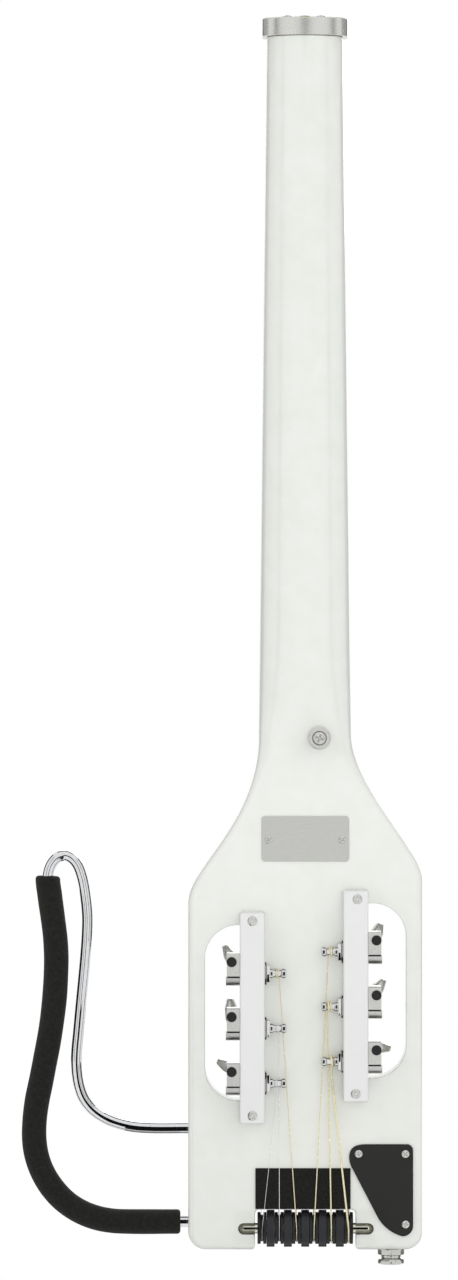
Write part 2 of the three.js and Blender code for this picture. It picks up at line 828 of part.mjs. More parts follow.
function strapButtonPiece() {
  const { radius, neckRadius, tall, rim, foot } = strapButton;
  const bore = strapScrew.shankRadius + fit;
  const seat = tall - strapScrew.headDepth + strapScrew.sink;
  const profile = [
    [0, bore], [0, radius - rim / 2], [-foot / 2, radius - rim / 2], [-foot, neckRadius],
    [rim - tall, neckRadius], [-tall + rim / 2, radius], [-tall, radius - rim / 2],
    [-tall, strapScrew.headRadius + fit], [-seat, strapScrew.headRadius + fit], [-seat, bore], [0, bore],
  ];
  return shifted(turnedY(profile), strapButton.across, 0, strapButton.height);
}

function strapScrewPiece() {
  const { shankRadius, headRadius, headDepth, length, sink } = strapScrew;
  const seat = -(strapButton.tall - headDepth + sink) - fit;
  const head = seat - headDepth;
  const profile = [
    [head, 0], [head, headRadius * domeShare], [head + headDepth / 2, headRadius], [seat, headRadius],
    [seat, shankRadius], [head + length - shankRadius, shankRadius], [head + length, 0],
  ];
  return shifted(turnedY(profile, 8), strapButton.across, 0, strapButton.height);
}

function backPlate() {
  const { centreHeight, halfWidth: across, halfHeight, thickness, cornerRadius } = plate;
  const [low, high] = [centreHeight - halfHeight, centreHeight + halfHeight];
  return slabY(roundedRectangle(-across, low, across, high, cornerRadius), -thickness, 0, 3);
}

function dampingPad() {
  return box(pad.left, -pad.thickness, notchTop + pad.edgeGap, pad.right, 0, pad.top);
}

function coverOutline() {
  const { top, right, bottom, left, toeAcross } = cover;
  const { crownHeight, crownRight, slantTop, slantEnd, hook } = cover;
  const { topRadius: upper, bottomRadius: lower } = cover;
  const shape = new THREE.Shape();
  shape.moveTo(toeAcross, bottom);
  shape.lineTo(right - lower, bottom);
  shape.absarc(right - lower, bottom + lower, lower, -quarter, 0, false);
  shape.lineTo(right, top - upper);
  shape.absarc(right - upper, top - upper, upper, 0, quarter, false);
  shape.lineTo(crownRight, top);
  shape.quadraticCurveTo(left, top, left, crownHeight);
  shape.quadraticCurveTo(left, (crownHeight + slantTop.height) / 2, slantTop.across, slantTop.height);
  shape.lineTo(slantEnd.across, slantEnd.height);
  shape.quadraticCurveTo(hook.across, hook.height, toeAcross, bottom);
  return shape;
}

function jackPiece() {
  const base = body.buttHeight;
  const ring = base - jack.ringLength;
  const waist = ring - jack.waistLength;
  const end = waist - jack.flangeLength;
  const floor = end + jack.boreDepth;
  const top = base + jack.barrelLength;
  const profile = [
    [top, 0], [top, jack.barrelRadius - fit], [base, jack.barrelRadius - fit], [base, jack.ringRadius],
    [ring, jack.ringRadius], [ring, jack.waistRadius], [waist, jack.waistRadius],
    [waist, jack.flangeRadius], [end, jack.flangeRadius], [end, jack.boreRadius],
    [floor, jack.boreRadius], [floor, 0],
  ];
  return shifted(turnedZ(profile), jack.across, midDepth, 0);
}

// Leg rest: one bent rod, and a foam sleeve round its outer arm.

function routePoint([outShare, upShare]) {
  return new THREE.Vector3(
    -halfWidth - outShare * legRest.reach,
    midDepth,
    legRest.lowerSocketHeight + upShare * legRest.height,
  );
}

function legRoute() {
  const inside = -halfWidth + legSocket.depth - fit;
  return [
    new THREE.Vector3(inside, midDepth, upperSocketHeight),
    ...[...rodRouteShares, ...foamRouteShares].map(routePoint),
    new THREE.Vector3(inside, midDepth, legRest.lowerSocketHeight),
  ];
}

function legFoamRoute(route) {
  const end = route.length - 1;
  return route.slice(end - foamRouteShares.length, end);
}

// Rollers, spacers and their axle.

function rollerPiece(index) {
  const half = roller.width / 2;
  const floor = roller.grooveFloor / 2;
  const bore = axle.radius + roller.boreGap;
  const profile = [
    [-half, bore], [-half, roller.radius], [-half + roller.rim, roller.radius],
    [-floor, roller.grooveRadius], [floor, roller.grooveRadius],
    [half - roller.rim, roller.radius], [half, roller.radius], [half, bore], [-half, bore],
  ];
  return shifted(turnedX(profile), stringAcrossRoller(index), axle.front, axle.height);
}

function spacerPiece(index) {
  const half = (roller.pitch - roller.width) / 2 - spacer.gap;
  const middle = (stringAcrossRoller(index) + stringAcrossRoller(index + 1)) / 2;
  const bore = axle.radius + roller.boreGap;
  return shifted(turnedX(sleeveProfile(-half, half, spacer.radius, bore)), middle, axle.front, axle.height);
}

function axlePiece() {
  const [from, to] = [axle.leftEnd + axle.endPlay, axle.rightEnd - axle.endPlay];
  const { radius, chamfer } = axle;
  const profile = [
    [from, 0], [from, radius - chamfer], [from + chamfer, radius],
    [to - chamfer, radius], [to, radius - chamfer], [to, 0],
  ];
  return shifted(turnedX(profile), 0, axle.front, axle.height);
}

// Tuner pieces, drawn with the post along X towards the centre line and the rail's inner face
// at zero.

const railOuterFace = -rail.width;
const wormAcross = railOuterFace - tuner.wormOut;
const gearPitchRadius = (gear.module * gearTeeth) / 2;
const wormRise = gearPitchRadius + worm.pitchRadius;
const gearTip = gearPitchRadius + gear.module;
const gearRoot = gearPitchRadius - gear.module * rootShare;
const wormTip = worm.pitchRadius + gear.module;
const leadPerTurn = Math.PI * gear.module;

function housingPiece() {
  const { housingHalfDepth: deep, housingCorner: corner, housingStepDrop: step } = tuner;
  const end = tuner.housingEndRadius;
  const top = wormRise + tuner.housingTopRise;
  const outline = new THREE.Shape();
  const startAngle = -Math.asin(step / end);
  outline.moveTo(deep, -step);
  outline.lineTo(deep, top - corner);
  outline.absarc(deep - corner, top - corner, corner, 0, quarter, false);
  outline.lineTo(-deep + corner, top);
  outline.absarc(-deep + corner, top - corner, corner, quarter, Math.PI, false);
  outline.lineTo(-deep, -step);
  outline.absarc(0, 0, end, -Math.PI - startAngle, startAngle, false);
  const outer = railOuterFace - tuner.housingThickness;
  const block = barX(outline, outer, railOuterFace, 4);
  const floor = outer + tuner.housingWall;
  const gearRoom = turnedX(rodProfile(floor, railOuterFace + overrun, gearTip + fit));
  const wormHalf = worm.threadLength / 2 + fit;
  const [wide, low] = [wormTip + fit, wormRise];
  const wormRoom = box(floor, -wormHalf, 0, railOuterFace + overrun, wormHalf, low + wide);
  const bore = turnedY(rodProfile(-deep - overrun, deep + overrun, worm.shaftRadius + fit), 8);
  return cutBy(block, gearRoom, wormRoom, shifted(bore, wormAcross, 0, wormRise));
}

// One screw thread of trapezoid section, wound round Y.
function wormThread() {
  const turns = worm.threadLength / leadPerTurn - 1;
  const steps = Math.ceil(turns * worm.stepsPerTurn);
  const root = worm.coreRadius - fit;
  const section = [
    [root, -worm.rootWidth / 2], [wormTip, -worm.tipWidth / 2],
    [wormTip, worm.tipWidth / 2], [root, worm.rootWidth / 2],
  ];
  const rings = Array.from({ length: steps + 1 }, (_, i) => {
    const turned = (i / worm.stepsPerTurn - turns / 2) * turn;
    const along = (turned / turn) * leadPerTurn;
    return section.map(([radius, offset]) => (
      new THREE.Vector3(radius * Math.sin(turned), along + offset, radius * Math.cos(turned))
    ));
  });
  return solidOf(skinOver(rings));
}

// Seen along its shaft, the button is thick at its hub and tapers to two blunt tips.
function wingPlan() {
  const { hubFlat, tipCorner } = button;
  const [half, hub, tip] = [button.span / 2, button.hubThickness / 2, button.tipThickness / 2];
  const upperRight = [[half, tip - tipCorner], [half - tipCorner, tip], [hubFlat, hub]];
  const upperLeft = upperRight.map(([across, up]) => [-across, up]).reverse();
  const lower = [...upperRight, ...upperLeft].map(([across, up]) => [-across, -up]);
  return polygon([...upperRight, ...upperLeft, ...lower]);
}

function wingSolid(angle) {
  const half = button.span / 2;
  const plan = slabY(wingPlan(), 0, button.height);
  const { height, hubRadius: hub } = button;
  const front = new THREE.Shape();
  front.moveTo(-hub, 0);
  front.lineTo(hub, 0);
  front.bezierCurveTo(half * wingShare, 0, half, height * earShare, half, height / 2);
  front.bezierCurveTo(half, height, hub, height, 0, height * (1 - dipShare));
  front.bezierCurveTo(-hub, height, -half, height, -half, height / 2);
  front.bezierCurveTo(-half, height * earShare, -half * wingShare, 0, -hub, 0);
  const face = barZ(front, -button.hubThickness, button.hubThickness, 3);
  const wing = geometryOf(plan.intersect(face)).rotateY(-angle);
  return solidOf(wing.translate(0, button.startFront + tuner.axisBack, 0));
}

function buttonPiece(angle) {
  const back = -tuner.housingHalfDepth - button.capRise;
  const front = button.startFront + tuner.axisBack;
  const shaft = [
    [back, 0], [back, worm.shaftRadius], [-worm.threadLength / 2, worm.shaftRadius],
    [-worm.threadLength / 2, worm.coreRadius], [worm.threadLength / 2, worm.coreRadius],
    [worm.threadLength / 2, worm.shaftRadius], [tuner.housingHalfDepth + fit, worm.shaftRadius],
    [tuner.housingHalfDepth + fit, button.collarRadius], [front + overrun, button.collarRadius],
    [front + overrun, 0],
  ];
  const capBack = back - button.capThickness;
  const capDisc = turnedY(rodProfile(capBack, back + button.capRise - fit, button.capRadius), 10);
  return joined(turnedY(shaft, 8), capDisc, wormThread(), wingSolid(angle));
}

// A gear whose teeth lean to follow the worm's thread.
function gearSolid() {
  const lean = leadPerTurn / (turn * worm.pitchRadius);
  const twist = (gear.width * lean) / gearPitchRadius;
  const flank = [
    [gearRoot, -gear.rootWidth / 2], [gearTip, -gear.tipWidth / 2],
    [gearTip, gear.tipWidth / 2], [gearRoot, gear.rootWidth / 2],
  ];
  const ringAt = (along, turned) => Array.from({ length: gearTeeth }, (_, tooth) => (
    flank.map(([radius, offset]) => {
      const angle = quarter + (tooth / gearTeeth) * turn + offset / radius + turned;
      return new THREE.Vector3(along, radius * Math.cos(angle), radius * Math.sin(angle));
    })
  )).flat();
  const rims = [
    ringAt(wormAcross - gear.width / 2, -twist / 2),
    ringAt(wormAcross + gear.width / 2, twist / 2),
  ];
  return solidOf(starSkin(rims));
}

// Skins two toothed rims, whose ends fan out from their own centres.
function starSkin([near, far]) {
  const count = near.length;
  const centres = [new THREE.Vector3(near[0].x, 0, 0), new THREE.Vector3(far[0].x, 0, 0)];
  const positions = [...near, ...far, ...centres].flatMap((point) => [point.x, point.y, point.z]);
  const index = [];
  for (let i = 0; i < count; i += 1) {
    const next = (i + 1) % count;
    index.push(i, next, count + next, i, count + next, count + i);
    index.push(next, i, 2 * count, count + i, count + next, 2 * count + 1);
  }
  const geometry = new THREE.BufferGeometry();
  geometry.setAttribute('position', new THREE.Float32BufferAttribute(positions, 3));
  geometry.setIndex(index);
  return geometry;
}

function postPiece() {
  const { journalRadius, flangeRadius, waistRadius, coneLength, rimLength } = post;
  const start = wormAcross - gear.width / 2;
  const collar = railOuterFace + fit;
  const profile = [
    [start, 0], [start, waistRadius], [collar, waistRadius], [collar, journalRadius],
    [post.baseStart, journalRadius], [post.baseStart, flangeRadius], [post.waistStart, flangeRadius],
    [post.waistStart + coneLength, waistRadius], [post.waistEnd - coneLength, waistRadius],
    [post.waistEnd, flangeRadius], [post.reach - rimLength, flangeRadius],
    [post.reach, waistRadius], [post.reach, 0],
  ];
  return joined(turnedX(profile, 8), gearSolid());
}

function bushingPiece() {
  const { washerRadius, washerThickness, hexThickness, sleeveRadius, sleeveLength } = bushing;
  const bore = post.journalRadius + fit;
  const washer = turnedX(rodProfile(0, washerThickness, washerRadius));
  const hexEnd = washerThickness + hexThickness;
  const hexCorner = bushing.hexAcrossFlats / 2 / Math.cos(Math.PI / hexSides);
  const hex = turnedX(rodProfile(washerThickness / 2, hexEnd, hexCorner), hexSides);
  const sleeve = turnedX(rodProfile(-sleeveLength, washerThickness / 2, sleeveRadius), 8);
  const hole = turnedX(rodProfile(-sleeveLength - overrun, hexEnd + overrun, bore), 10);
  return cutBy(joined(washer, hex, sleeve), hole);
}

// Strings: each one a tube from its ball end over the nut and saddle, round its roller, to its
// post.

function ballFront() {
  return frontFace + action.atNut - cap.stringFall;
}

function rollerTangent(from, centre, radius) {
  const [deep, up] = [from.y - centre.y, from.z - centre.z];
  return Math.atan2(up, deep) - Math.acos(radius / Math.hypot(deep, up));
}

function stringPath(index) {
  const string = strings[index];
  const half = string.diameter / 2;
  const side = sides[string.side];
  const nutLevel = frontFace + action.atNut + half;
  const saddleLevel = frontFace + action.atSaddle + half;
  const capTop = neckTop + fit + cap.height;
  const acrossNut = stringAcrossNut(index);
  const acrossRoller = stringAcrossRoller(index);
  const centre = new THREE.Vector3(acrossRoller, axle.front, axle.height);
  const saddleTop = new THREE.Vector3(stringAcrossSaddle(index), saddleLevel, 0);
  const wrap = roller.grooveRadius + fit + half;
  const ball = capTop - cap.pocketDepth + fit;
  const path = [
    new THREE.Vector3(acrossNut, ballFront(), ball + stringSet.ballLength),
    new THREE.Vector3(acrossNut, ballFront(), ball),
    new THREE.Vector3(acrossNut, ballFront(), ball - fit / 2),
    new THREE.Vector3(acrossNut, nutLevel, scaleLength + nut.thickness),
    new THREE.Vector3(acrossNut, nutLevel, scaleLength),
    saddleTop,
  ];
  const post0 = new THREE.Vector3(
    side.innerFace + side.toCentre * string.takeUp,
    -tuner.axisBack,
    side.topPostHeight - string.postIndex * tuner.pitchAlongRail,
  );
  const winding = post.waistRadius + fit + half;
  const [deep, up] = [post0.y - centre.y, post0.z - centre.z];
  const leave = Math.atan2(up, deep) + Math.acos((wrap + winding) / Math.hypot(deep, up)) - turn;
  const arrive = rollerTangent(saddleTop, centre, wrap);
  for (let i = 0; i <= stepsRoundRoller; i += 1) {
    const angle = mix(arrive, leave, i / stepsRoundRoller);
    const [deepNow, upNow] = [wrap * Math.cos(angle), wrap * Math.sin(angle)];
    path.push(new THREE.Vector3(acrossRoller, centre.y + deepNow, centre.z + upNow));
  }
  const steps = Math.ceil(string.turns * stepsPerTurn);
  const pitch = string.diameter + stringSet.turnGap;
  for (let i = 0; i <= steps; i += 1) {
    const turned = (i / steps) * string.turns;
    const angle = leave + Math.PI + turned * turn;
    path.push(new THREE.Vector3(
      post0.x - side.toCentre * pitch * turned,
      post0.y + winding * Math.cos(angle),
      post0.z + winding * Math.sin(angle),
    ));
  }
  return { path, windingSteps: steps };
}

function stringPiece(index) {
  const { path } = stringPath(index);
  const half = strings[index].diameter / 2;
  const radii = path.map((_, i) => (i < 2 ? stringSet.ballRadius : half));
  return solidOf(skinOver(ringsAlong(path, radii, stringSides)));
}

// The least gap of a winding to itself, between points at least half a turn apart.
function leastWindingGap(index) {
  const { path, windingSteps } = stringPath(index);
  const loops = path.slice(-windingSteps - 1);
  let least = Infinity;
  for (let i = 0; i < loops.length; i += 1) {
    for (let j = i + stepsPerTurn / 2; j < loops.length; j += 1) {
      least = Math.min(least, loops[i].distanceTo(loops[j]));
    }
  }
  return least - strings[index].diameter;
}

// Finishes.

function finish(color, roughness, metalness = 0) {
  return new THREE.MeshStandardMaterial({ color, roughness, metalness });
}

const lacquer = finish(0xe8eae5, 0.25);
const railWhite = finish(0xeef1f2, 0.3);
const walnut = finish(0x4a3223, 0.6);
const bone = finish(0xece4cf, 0.4);
const satinAluminium = finish(0xb9bbbd, 0.35, 1);
const chrome = finish(0xd8dadc, 0.08, 1);
const satinNickel = finish(0xbfc0bd, 0.28, 1);
const blackPlastic = finish(0x1c1c1c, 0.45);
const darkSteel = finish(0x3a3b3d, 0.35, 1);
const foam = finish(0x282826, 0.95);
const felt = finish(0x141414, 1);
const brass = finish(0xb08d45, 0.3, 1);
const plainSteel = finish(0xc8cacc, 0.25, 1);
const bronze = finish(0xb07a3c, 0.35, 1);

// The guitar.

const guitar = new THREE.Group();

function add(name, solid, material, parent = guitar) {
  const mesh = new THREE.Mesh(geometryOf(solid), material);
  mesh.name = name;
  parent.add(mesh);
  return mesh;
}

add('neck_body', neckBody(), lacquer);
add('fingerboard', fingerboard(), walnut);
add('nut', nutPiece(), bone);
add('bridge', bridgePiece(), walnut);
add('saddle', saddlePiece(), bone);
add('piezo_pickup', pickupPiece(), brass);
add('truss_rod', trussRodPiece(), brass);
add('end_cap', endCap(), satinAluminium);
add('treble_rail', railPiece('left'), railWhite);
add('bass_rail', railPiece('right'), railWhite);
add('strap_button', strapButtonPiece(), satinNickel);
add('strap_button_screw', strapScrewPiece(), chrome);
add('back_plate', backPlate(), satinAluminium);
add('damping_pad', dampingPad(), felt);
add('cavity_cover', slabY(coverOutline(), -cover.thickness, 0, 5), blackPlastic);
add('endpin_jack', jackPiece(), satinNickel);

const legPath = legRoute();
add('leg_rest_frame', rodAlong(legPath, legRest.rodRadius, rodSides), chrome);
add('leg_rest_foam', sleeveAlong(
  legFoamRoute(legPath), legFoam.radius, legRest.rodRadius + legFoam.boreGap, rodSides,
), foam);

add('roller_axle', axlePiece(), plainSteel);
strings.forEach((_, i) => add(`roller_${i + 1}`, rollerPiece(i), blackPlastic));
strings.slice(1).forEach((_, i) => add(`roller_spacer_${i + 1}`, spacerPiece(i), darkSteel));

function addTuner(side, index) {
  const { toCentre, innerFace, topPostHeight, name } = sides[side];
  const place = new THREE.Group();
  place.position.set(innerFace, -tuner.axisBack, topPostHeight - index * tuner.pitchAlongRail);
  const facing = (solid) => (toCentre > 0 ? solid : solidOf(geometryOf(solid).scale(-1, 1, 1)));
  const label = `${name}_tuner_${index + 1}`;
  const wing = THREE.MathUtils.degToRad(wingAngles[side][index]);
  const turnedButton = buttonPiece(toCentre > 0 ? wing : Math.PI - wing);
  add(`${label}_housing`, facing(housingPiece()), satinNickel, place);
  add(`${label}_button`, facing(shifted(turnedButton, wormAcross, 0, wormRise)), satinNickel, place);
  add(`${label}_post`, facing(postPiece()), satinNickel, place);
  add(`${label}_bushing`, facing(bushingPiece()), satinNickel, place);
  guitar.add(place);
}

postPlaces.forEach((index) => addTuner('left', index));
postPlaces.forEach((index) => addTuner('right', index));

strings.forEach((_, i) => {
  add(`string_${i + 1}`, stringPiece(i), i < 2 ? plainSteel : bronze);
  const gap = leastWindingGap(i).toFixed(2);
  console.log(`string ${i + 1}: least gap in its winding ${gap} mm, floor ${stringSet.leastGap} mm`);
});

export default guitar;
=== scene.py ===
import math

import bmesh
import bpy
import numpy as np
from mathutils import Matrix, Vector


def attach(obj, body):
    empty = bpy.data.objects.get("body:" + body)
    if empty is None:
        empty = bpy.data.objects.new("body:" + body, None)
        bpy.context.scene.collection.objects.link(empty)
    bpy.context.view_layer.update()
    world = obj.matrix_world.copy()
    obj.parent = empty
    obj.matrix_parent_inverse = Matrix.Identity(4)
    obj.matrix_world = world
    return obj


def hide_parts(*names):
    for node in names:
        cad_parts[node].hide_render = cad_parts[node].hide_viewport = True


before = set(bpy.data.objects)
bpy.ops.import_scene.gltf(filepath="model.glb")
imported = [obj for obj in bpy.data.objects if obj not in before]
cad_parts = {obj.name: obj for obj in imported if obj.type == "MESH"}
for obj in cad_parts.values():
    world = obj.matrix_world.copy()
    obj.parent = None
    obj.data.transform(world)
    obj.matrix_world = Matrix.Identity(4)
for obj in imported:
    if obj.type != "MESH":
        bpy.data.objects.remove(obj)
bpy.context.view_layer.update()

# Camera and studio. The guitar is seen square from behind, hung upright in front of a plain
# white sweep, with broad soft lamps on the right, on the left, low in front and behind it.

MM = 0.001
WHITE = (1, 1, 1, 1)
camera_data = bpy.data.cameras.new("camera")
camera_data.lens = 148.34
camera_data.clip_end = 30
camera = bpy.data.objects.new("camera", camera_data)
camera.location = (-0.0434, -3.0, 0.2896)
camera.rotation_euler = (math.radians(90), 0, 0)
bpy.context.collection.objects.link(camera)
bpy.context.scene.camera = camera
bpy.context.scene.view_settings.view_transform = "Standard"


def softbox(name, place, aim, size, watts, mirrored=False):
    """A square lamp at a place, turned so that its face looks at the aim point. Unless it is
    to be mirrored, polished pieces see the white sweep through it."""
    data = bpy.data.lights.new(name, "AREA")
    data.shape, data.size, data.energy = "SQUARE", size, watts
    lamp = bpy.data.objects.new(name, data)
    lamp.location = place
    lamp.visible_camera, lamp.visible_glossy = False, mirrored
    lamp.rotation_euler = (Vector(aim) - Vector(place)).to_track_quat("-Z", "Y").to_euler()
    bpy.context.collection.objects.link(lamp)


softbox("key_lamp", (1.4, -2.3, 1.3), (0, 0, 0.2), 2.4, 14)
softbox("fill_lamp", (-1.9, -2.0, 0.8), (0, 0, 0.2), 2.4, 9)
softbox("front_lamp", (0.05, -2.2, 0.14), (0, 0, 0.05), 0.4, 10)
softbox("back_lamp", (0.4, 2.3, 1.7), (0, 0, 0.3), 2.2, 30, mirrored=True)


def node(tree, kind, settings=None, **values):
    """A new shader node: its settings are made first, then the values of its named inputs."""
    made = tree.nodes.new(kind)
    for setting, value in (settings or {}).items():
        setattr(made, setting, value)
    for socket, value in values.items():
        made.inputs[socket.replace("_", " ")].default_value = value
    return made


def wire(tree, *wires):
    """Links nodes. Each wire is a node with its output, then a node with its input."""
    for giver, output, taker, entry in wires:
        tree.links.new(giver.outputs[output], taker.inputs[entry])


def new_material(name):
    """A material with its node tree and the shader that the tree starts with."""
    material = bpy.data.materials.new(name)
    material.use_nodes = True
    tree = material.node_tree
    return material, tree, tree.nodes["Principled BSDF"]


def shown_or_lighting(tree, shown, lighting, out):
    """The camera, mirrors and glass see one shader, and all other rays meet the other."""
    path = node(tree, "ShaderNodeLightPath")
    mirrored = node(tree, "ShaderNodeMath", {"operation": "MAXIMUM"})
    either = node(tree, "ShaderNodeMath", {"operation": "MAXIMUM"})
    mix = node(tree, "ShaderNodeMixShader")
    wire(
        tree, (path, "Is Glossy Ray", mirrored, 0), (path, "Is Transmission Ray", mirrored, 1),
        (mirrored, 0, either, 0), (path, "Is Camera Ray", either, 1), (either, 0, mix, 0),
        (lighting, 0, mix, 1), (shown, 0, mix, 2), (mix, 0, out, "Surface"),
    )


world = bpy.data.worlds.new("studio_air")
bpy.context.scene.world = world
world.use_nodes = True
air = world.node_tree
soft_air = air.nodes["Background"]
soft_air.inputs["Color"].default_value = WHITE
soft_air.inputs["Strength"].default_value = 0.64
white_sweep = node(air, "ShaderNodeBackground", Color=WHITE)
shown_or_lighting(air, white_sweep, soft_air, air.nodes["World Output"])

floor_finish, floor_tree, floor_skin = new_material("pale_floor")
floor_tree.nodes.remove(floor_skin)
matt_floor = node(floor_tree, "ShaderNodeBsdfDiffuse", Color=(0.8, 0.8, 0.8, 1))
white_floor = node(floor_tree, "ShaderNodeEmission", Strength=1.0)
shown_or_lighting(floor_tree, white_floor, matt_floor, floor_tree.nodes["Material Output"])
floor_z, floor_reach = -0.0665, 6
floor_mesh = bpy.data.meshes.new("floor")
floor_mesh.from_pydata([
    (-floor_reach, -floor_reach, floor_z), (floor_reach, -floor_reach, floor_z),
    (floor_reach, floor_reach, floor_z), (-floor_reach, floor_reach, floor_z),
], [], [(0, 1, 2, 3)])
studio_floor = bpy.data.objects.new("floor", floor_mesh)
studio_floor.data.materials.append(floor_finish)
bpy.context.collection.objects.link(studio_floor)


def card_material(name, grey):
    """A matt card of one grey, with no gloss of its own."""
    material, _, skin = new_material(name)
    skin.inputs["Base Color"].default_value = (grey, grey, grey, 1)
    skin.inputs["Specular IOR Level"].default_value = 0
    return material


black_card = card_material("black_card", 0.01)
grey_card = card_material("grey_card", 0.3)
pale_card = card_material("pale_card", 0.6)


def flag(name, low, high, card_finish=black_card):
    """A card, placed in millimetres, that only polished metal sees. It is flat in the axis
    where its lowest and highest corners agree."""
    (x0, y0, z0), (x1, y1, z1) = (np.array([low, high], float) * MM).tolist()
    if x0 == x1:
        corners = [(x0, y0, z0), (x0, y1, z0), (x0, y1, z1), (x0, y0, z1)]
    else:
        corners = [(x0, y0, z0), (x1, y0, z0), (x1, y1, z1), (x0, y1, z1)]
    mesh = bpy.data.meshes.new(name)
    mesh.from_pydata(corners, [], [(0, 1, 2, 3)])
    card = bpy.data.objects.new(name, mesh)
    card.data.materials.append(card_finish)
    bpy.context.collection.objects.link(card)
    for ray_kind in ("camera", "diffuse", "transmission", "volume_scatter", "shadow"):
        setattr(card, f"visible_{ray_kind}", False)


mid_depth = 9.5
for side_name, side in (("back", -1), ("front", 1)):
    near, far = mid_depth + side * 110, mid_depth + side * 30
    flag(f"{side_name}_arm_flag", (-120, near, -66), (-67, near, 70))
    flag(f"{side_name}_floor_flag", (-120, near, -66), (-67, far, -66))
    flag(f"{side_name}_loop_flag", (-142, near, -66), (-120, near, 190))
for side_name, side in (("treble", -1), ("bass", 1)):
    flag(f"{side_name}_back_flag", (side * 1100, 250, -60), (side * 1100, 1500, 1200))
    flag(f"{side_name}_front_flag", (side * 1100, -1300, -60), (side * 1100, -950, 1200))
    flag(f"{side_name}_axle_flag", (side * 26.5, -20, -60), (side * 40.5, -20, -37))
    flag(f"{side_name}_head_flag", (side * 120, -20, 620), (side * 120, 80, 700), pale_card)
flag("head_streak_flag", (-8.5, -120, 635), (12, -120, 675))
flag("overhead_flag", (-800, 200, 1500), (800, 1200, 1500))
flag("end_pin_side_flag", (-41, 7.5, -66.3), (139, 100, -66.3), grey_card)
flag("end_pin_middle_flag", (47.8, -80, -66.3), (50, 0, -66.3))

tuner_pitch, inward = 31.1, {"treble": 1, "bass": -1}
rail_face = {"treble": -23.1, "bass": 21.3}
posts_at = {
    "treble": [100.4 - tuner_pitch * k for k in range(3)],
    "bass": [112.7 - tuner_pitch * k for k in range(3)],
}


def tuner_flag(name, side, across, deep, up):
    """A card beside a rail, from its inner face, in X, Y and Z from one end to the other."""
    ends = (rail_face[side] + inward[side] * np.array(across), deep, up)
    flag(f"{side}_{name}", *zip(*ends))


for side, heights in posts_at.items():
    for k, z in enumerate([heights[0] + tuner_pitch, *heights]):
        between = (z - tuner_pitch / 2,) * 2
        tuner_flag(f"post_gap_flag_{k}", side, (0, 13), (-9, -0.5), between)
    for k, z in enumerate(heights):
        tuner_flag(f"post_inner_flag_{k}", side, (10.2, 11.7), (-16, -16), (z - 7, z + 6))
        tuner_flag(f"post_outer_flag_{k}", side, (3.4, 5.1), (-16, -16), (z - 7, z + 6))
        tuner_flag(f"boss_flag_{k}", side, (-22.5, -13.8), (-11.5, -4), (z - 15.5, z - 15.5))
    for k, z in ((0, heights[0] - 8), (2, heights[2] + 8)):
        tuner_flag(f"hex_flag_{k}", side, (0.8, 3), (-21, -12.5), (z, z))

# The body and neck. One laminated blank of light wood, shaped, sprayed with white lacquer and
# buffed to a gloss. Its windows, butt notch, sockets and slots are milled before spraying, so
# the lacquer runs softly over every edge.

neck_length = 628.65
body_half, body_deep, butt_z, butt_corner, body_edge = 66.55, 19.0, -57.3, 10.0, 3.0
shoulder_top = 235.5
treble_shoulder = (139.7, 51.0, 21.0)
bass_shoulder = (153.4, 29.0, 15.4)
nut_half, heel_half, nut_deep, heel_deep = 21.65, 26.25, 14.7, 16.6
neck_flank, neck_edge, oval_share = 2.4, 0.5, 0.95
neck_top, round_top, round_end = 634.1, 292.0, 196.0


def eased(share):
    """Nothing below 0, one above 1, and three squares less two cubes of the share between."""
    held = np.clip(share, 0, 1)
    return held * held * (3 - 2 * held)


def neck_half(z):
    """The neck's half width, which grows evenly from the nut down to the shoulders."""
    share = (neck_length - z) / (neck_length - shoulder_top)
    return nut_half + (heel_half - nut_half) * share


def shoulder_half(z, shoulder):
    """A cubic curve that leaves the neck's side upright and meets the body's side upright,
    read off at the heights asked for, down to the round corner at the butt."""
    end, top_pull, end_pull = shoulder
    t = np.linspace(0, 1, 400)
    ways = ((1 - t) ** 3, 3 * t * (1 - t) ** 2, 3 * t * t * (1 - t), t**3)
    across = [neck_half(shoulder_top)] * 2 + [body_half] * 2
    up = [shoulder_top, shoulder_top - top_pull, end + end_pull, end]
    x = sum(w * a for w, a in zip(ways, across))
    y = sum(w * u for w, u in zip(ways, up))
    flank = np.interp(z, y[::-1], x[::-1])
    return np.where(z >= shoulder_top, neck_half(z), flank)


def grid_quads(rows, columns, close_rows=False):
    """Every small square of a grid of rows whose columns run right round."""
    down = np.arange(rows if close_rows else rows - 1)
    i, j = np.meshgrid(down, np.arange(columns), indexing="ij")
    i2, j2 = (i + 1) % rows, (j + 1) % columns
    quads = np.stack([i * columns + j, i * columns + j2, i2 * columns + j2, i2 * columns + j], -1)
    return quads.reshape(-1, 4).tolist()


def solid_skin(name, rings, close_rows=False):
    """A closed mesh through rings of points in millimetres, with flat ends, or without them
    where the last ring meets the first."""
    rings = np.asarray(rings, float)
    rows, columns = rings.shape[:2]
    faces = grid_quads(rows, columns, close_rows)
    if not close_rows:
        faces.append(list(range(columns))[::-1])
        faces.append(list(range((rows - 1) * columns, rows * columns)))
    mesh = bpy.data.meshes.new(name)
    mesh.from_pydata((rings.reshape(-1, 3) * MM).tolist(), [], faces)
    return tidy_piece(name, mesh)


def tidy_piece(name, mesh):
    """A mesh in the scene, its doubles merged, its faces turned outwards and shaded smooth."""
    work = bmesh.new()
    work.from_mesh(mesh)
    bmesh.ops.remove_doubles(work, verts=work.verts, dist=1e-7)
    bmesh.ops.dissolve_degenerate(work, edges=work.edges, dist=1e-7)
    bmesh.ops.recalc_face_normals(work, faces=work.faces)
    work.to_mesh(mesh)
    work.free()
    mesh.shade_smooth()
    piece = bpy.data.objects.new(name, mesh)
    bpy.context.collection.objects.link(piece)
    return piece


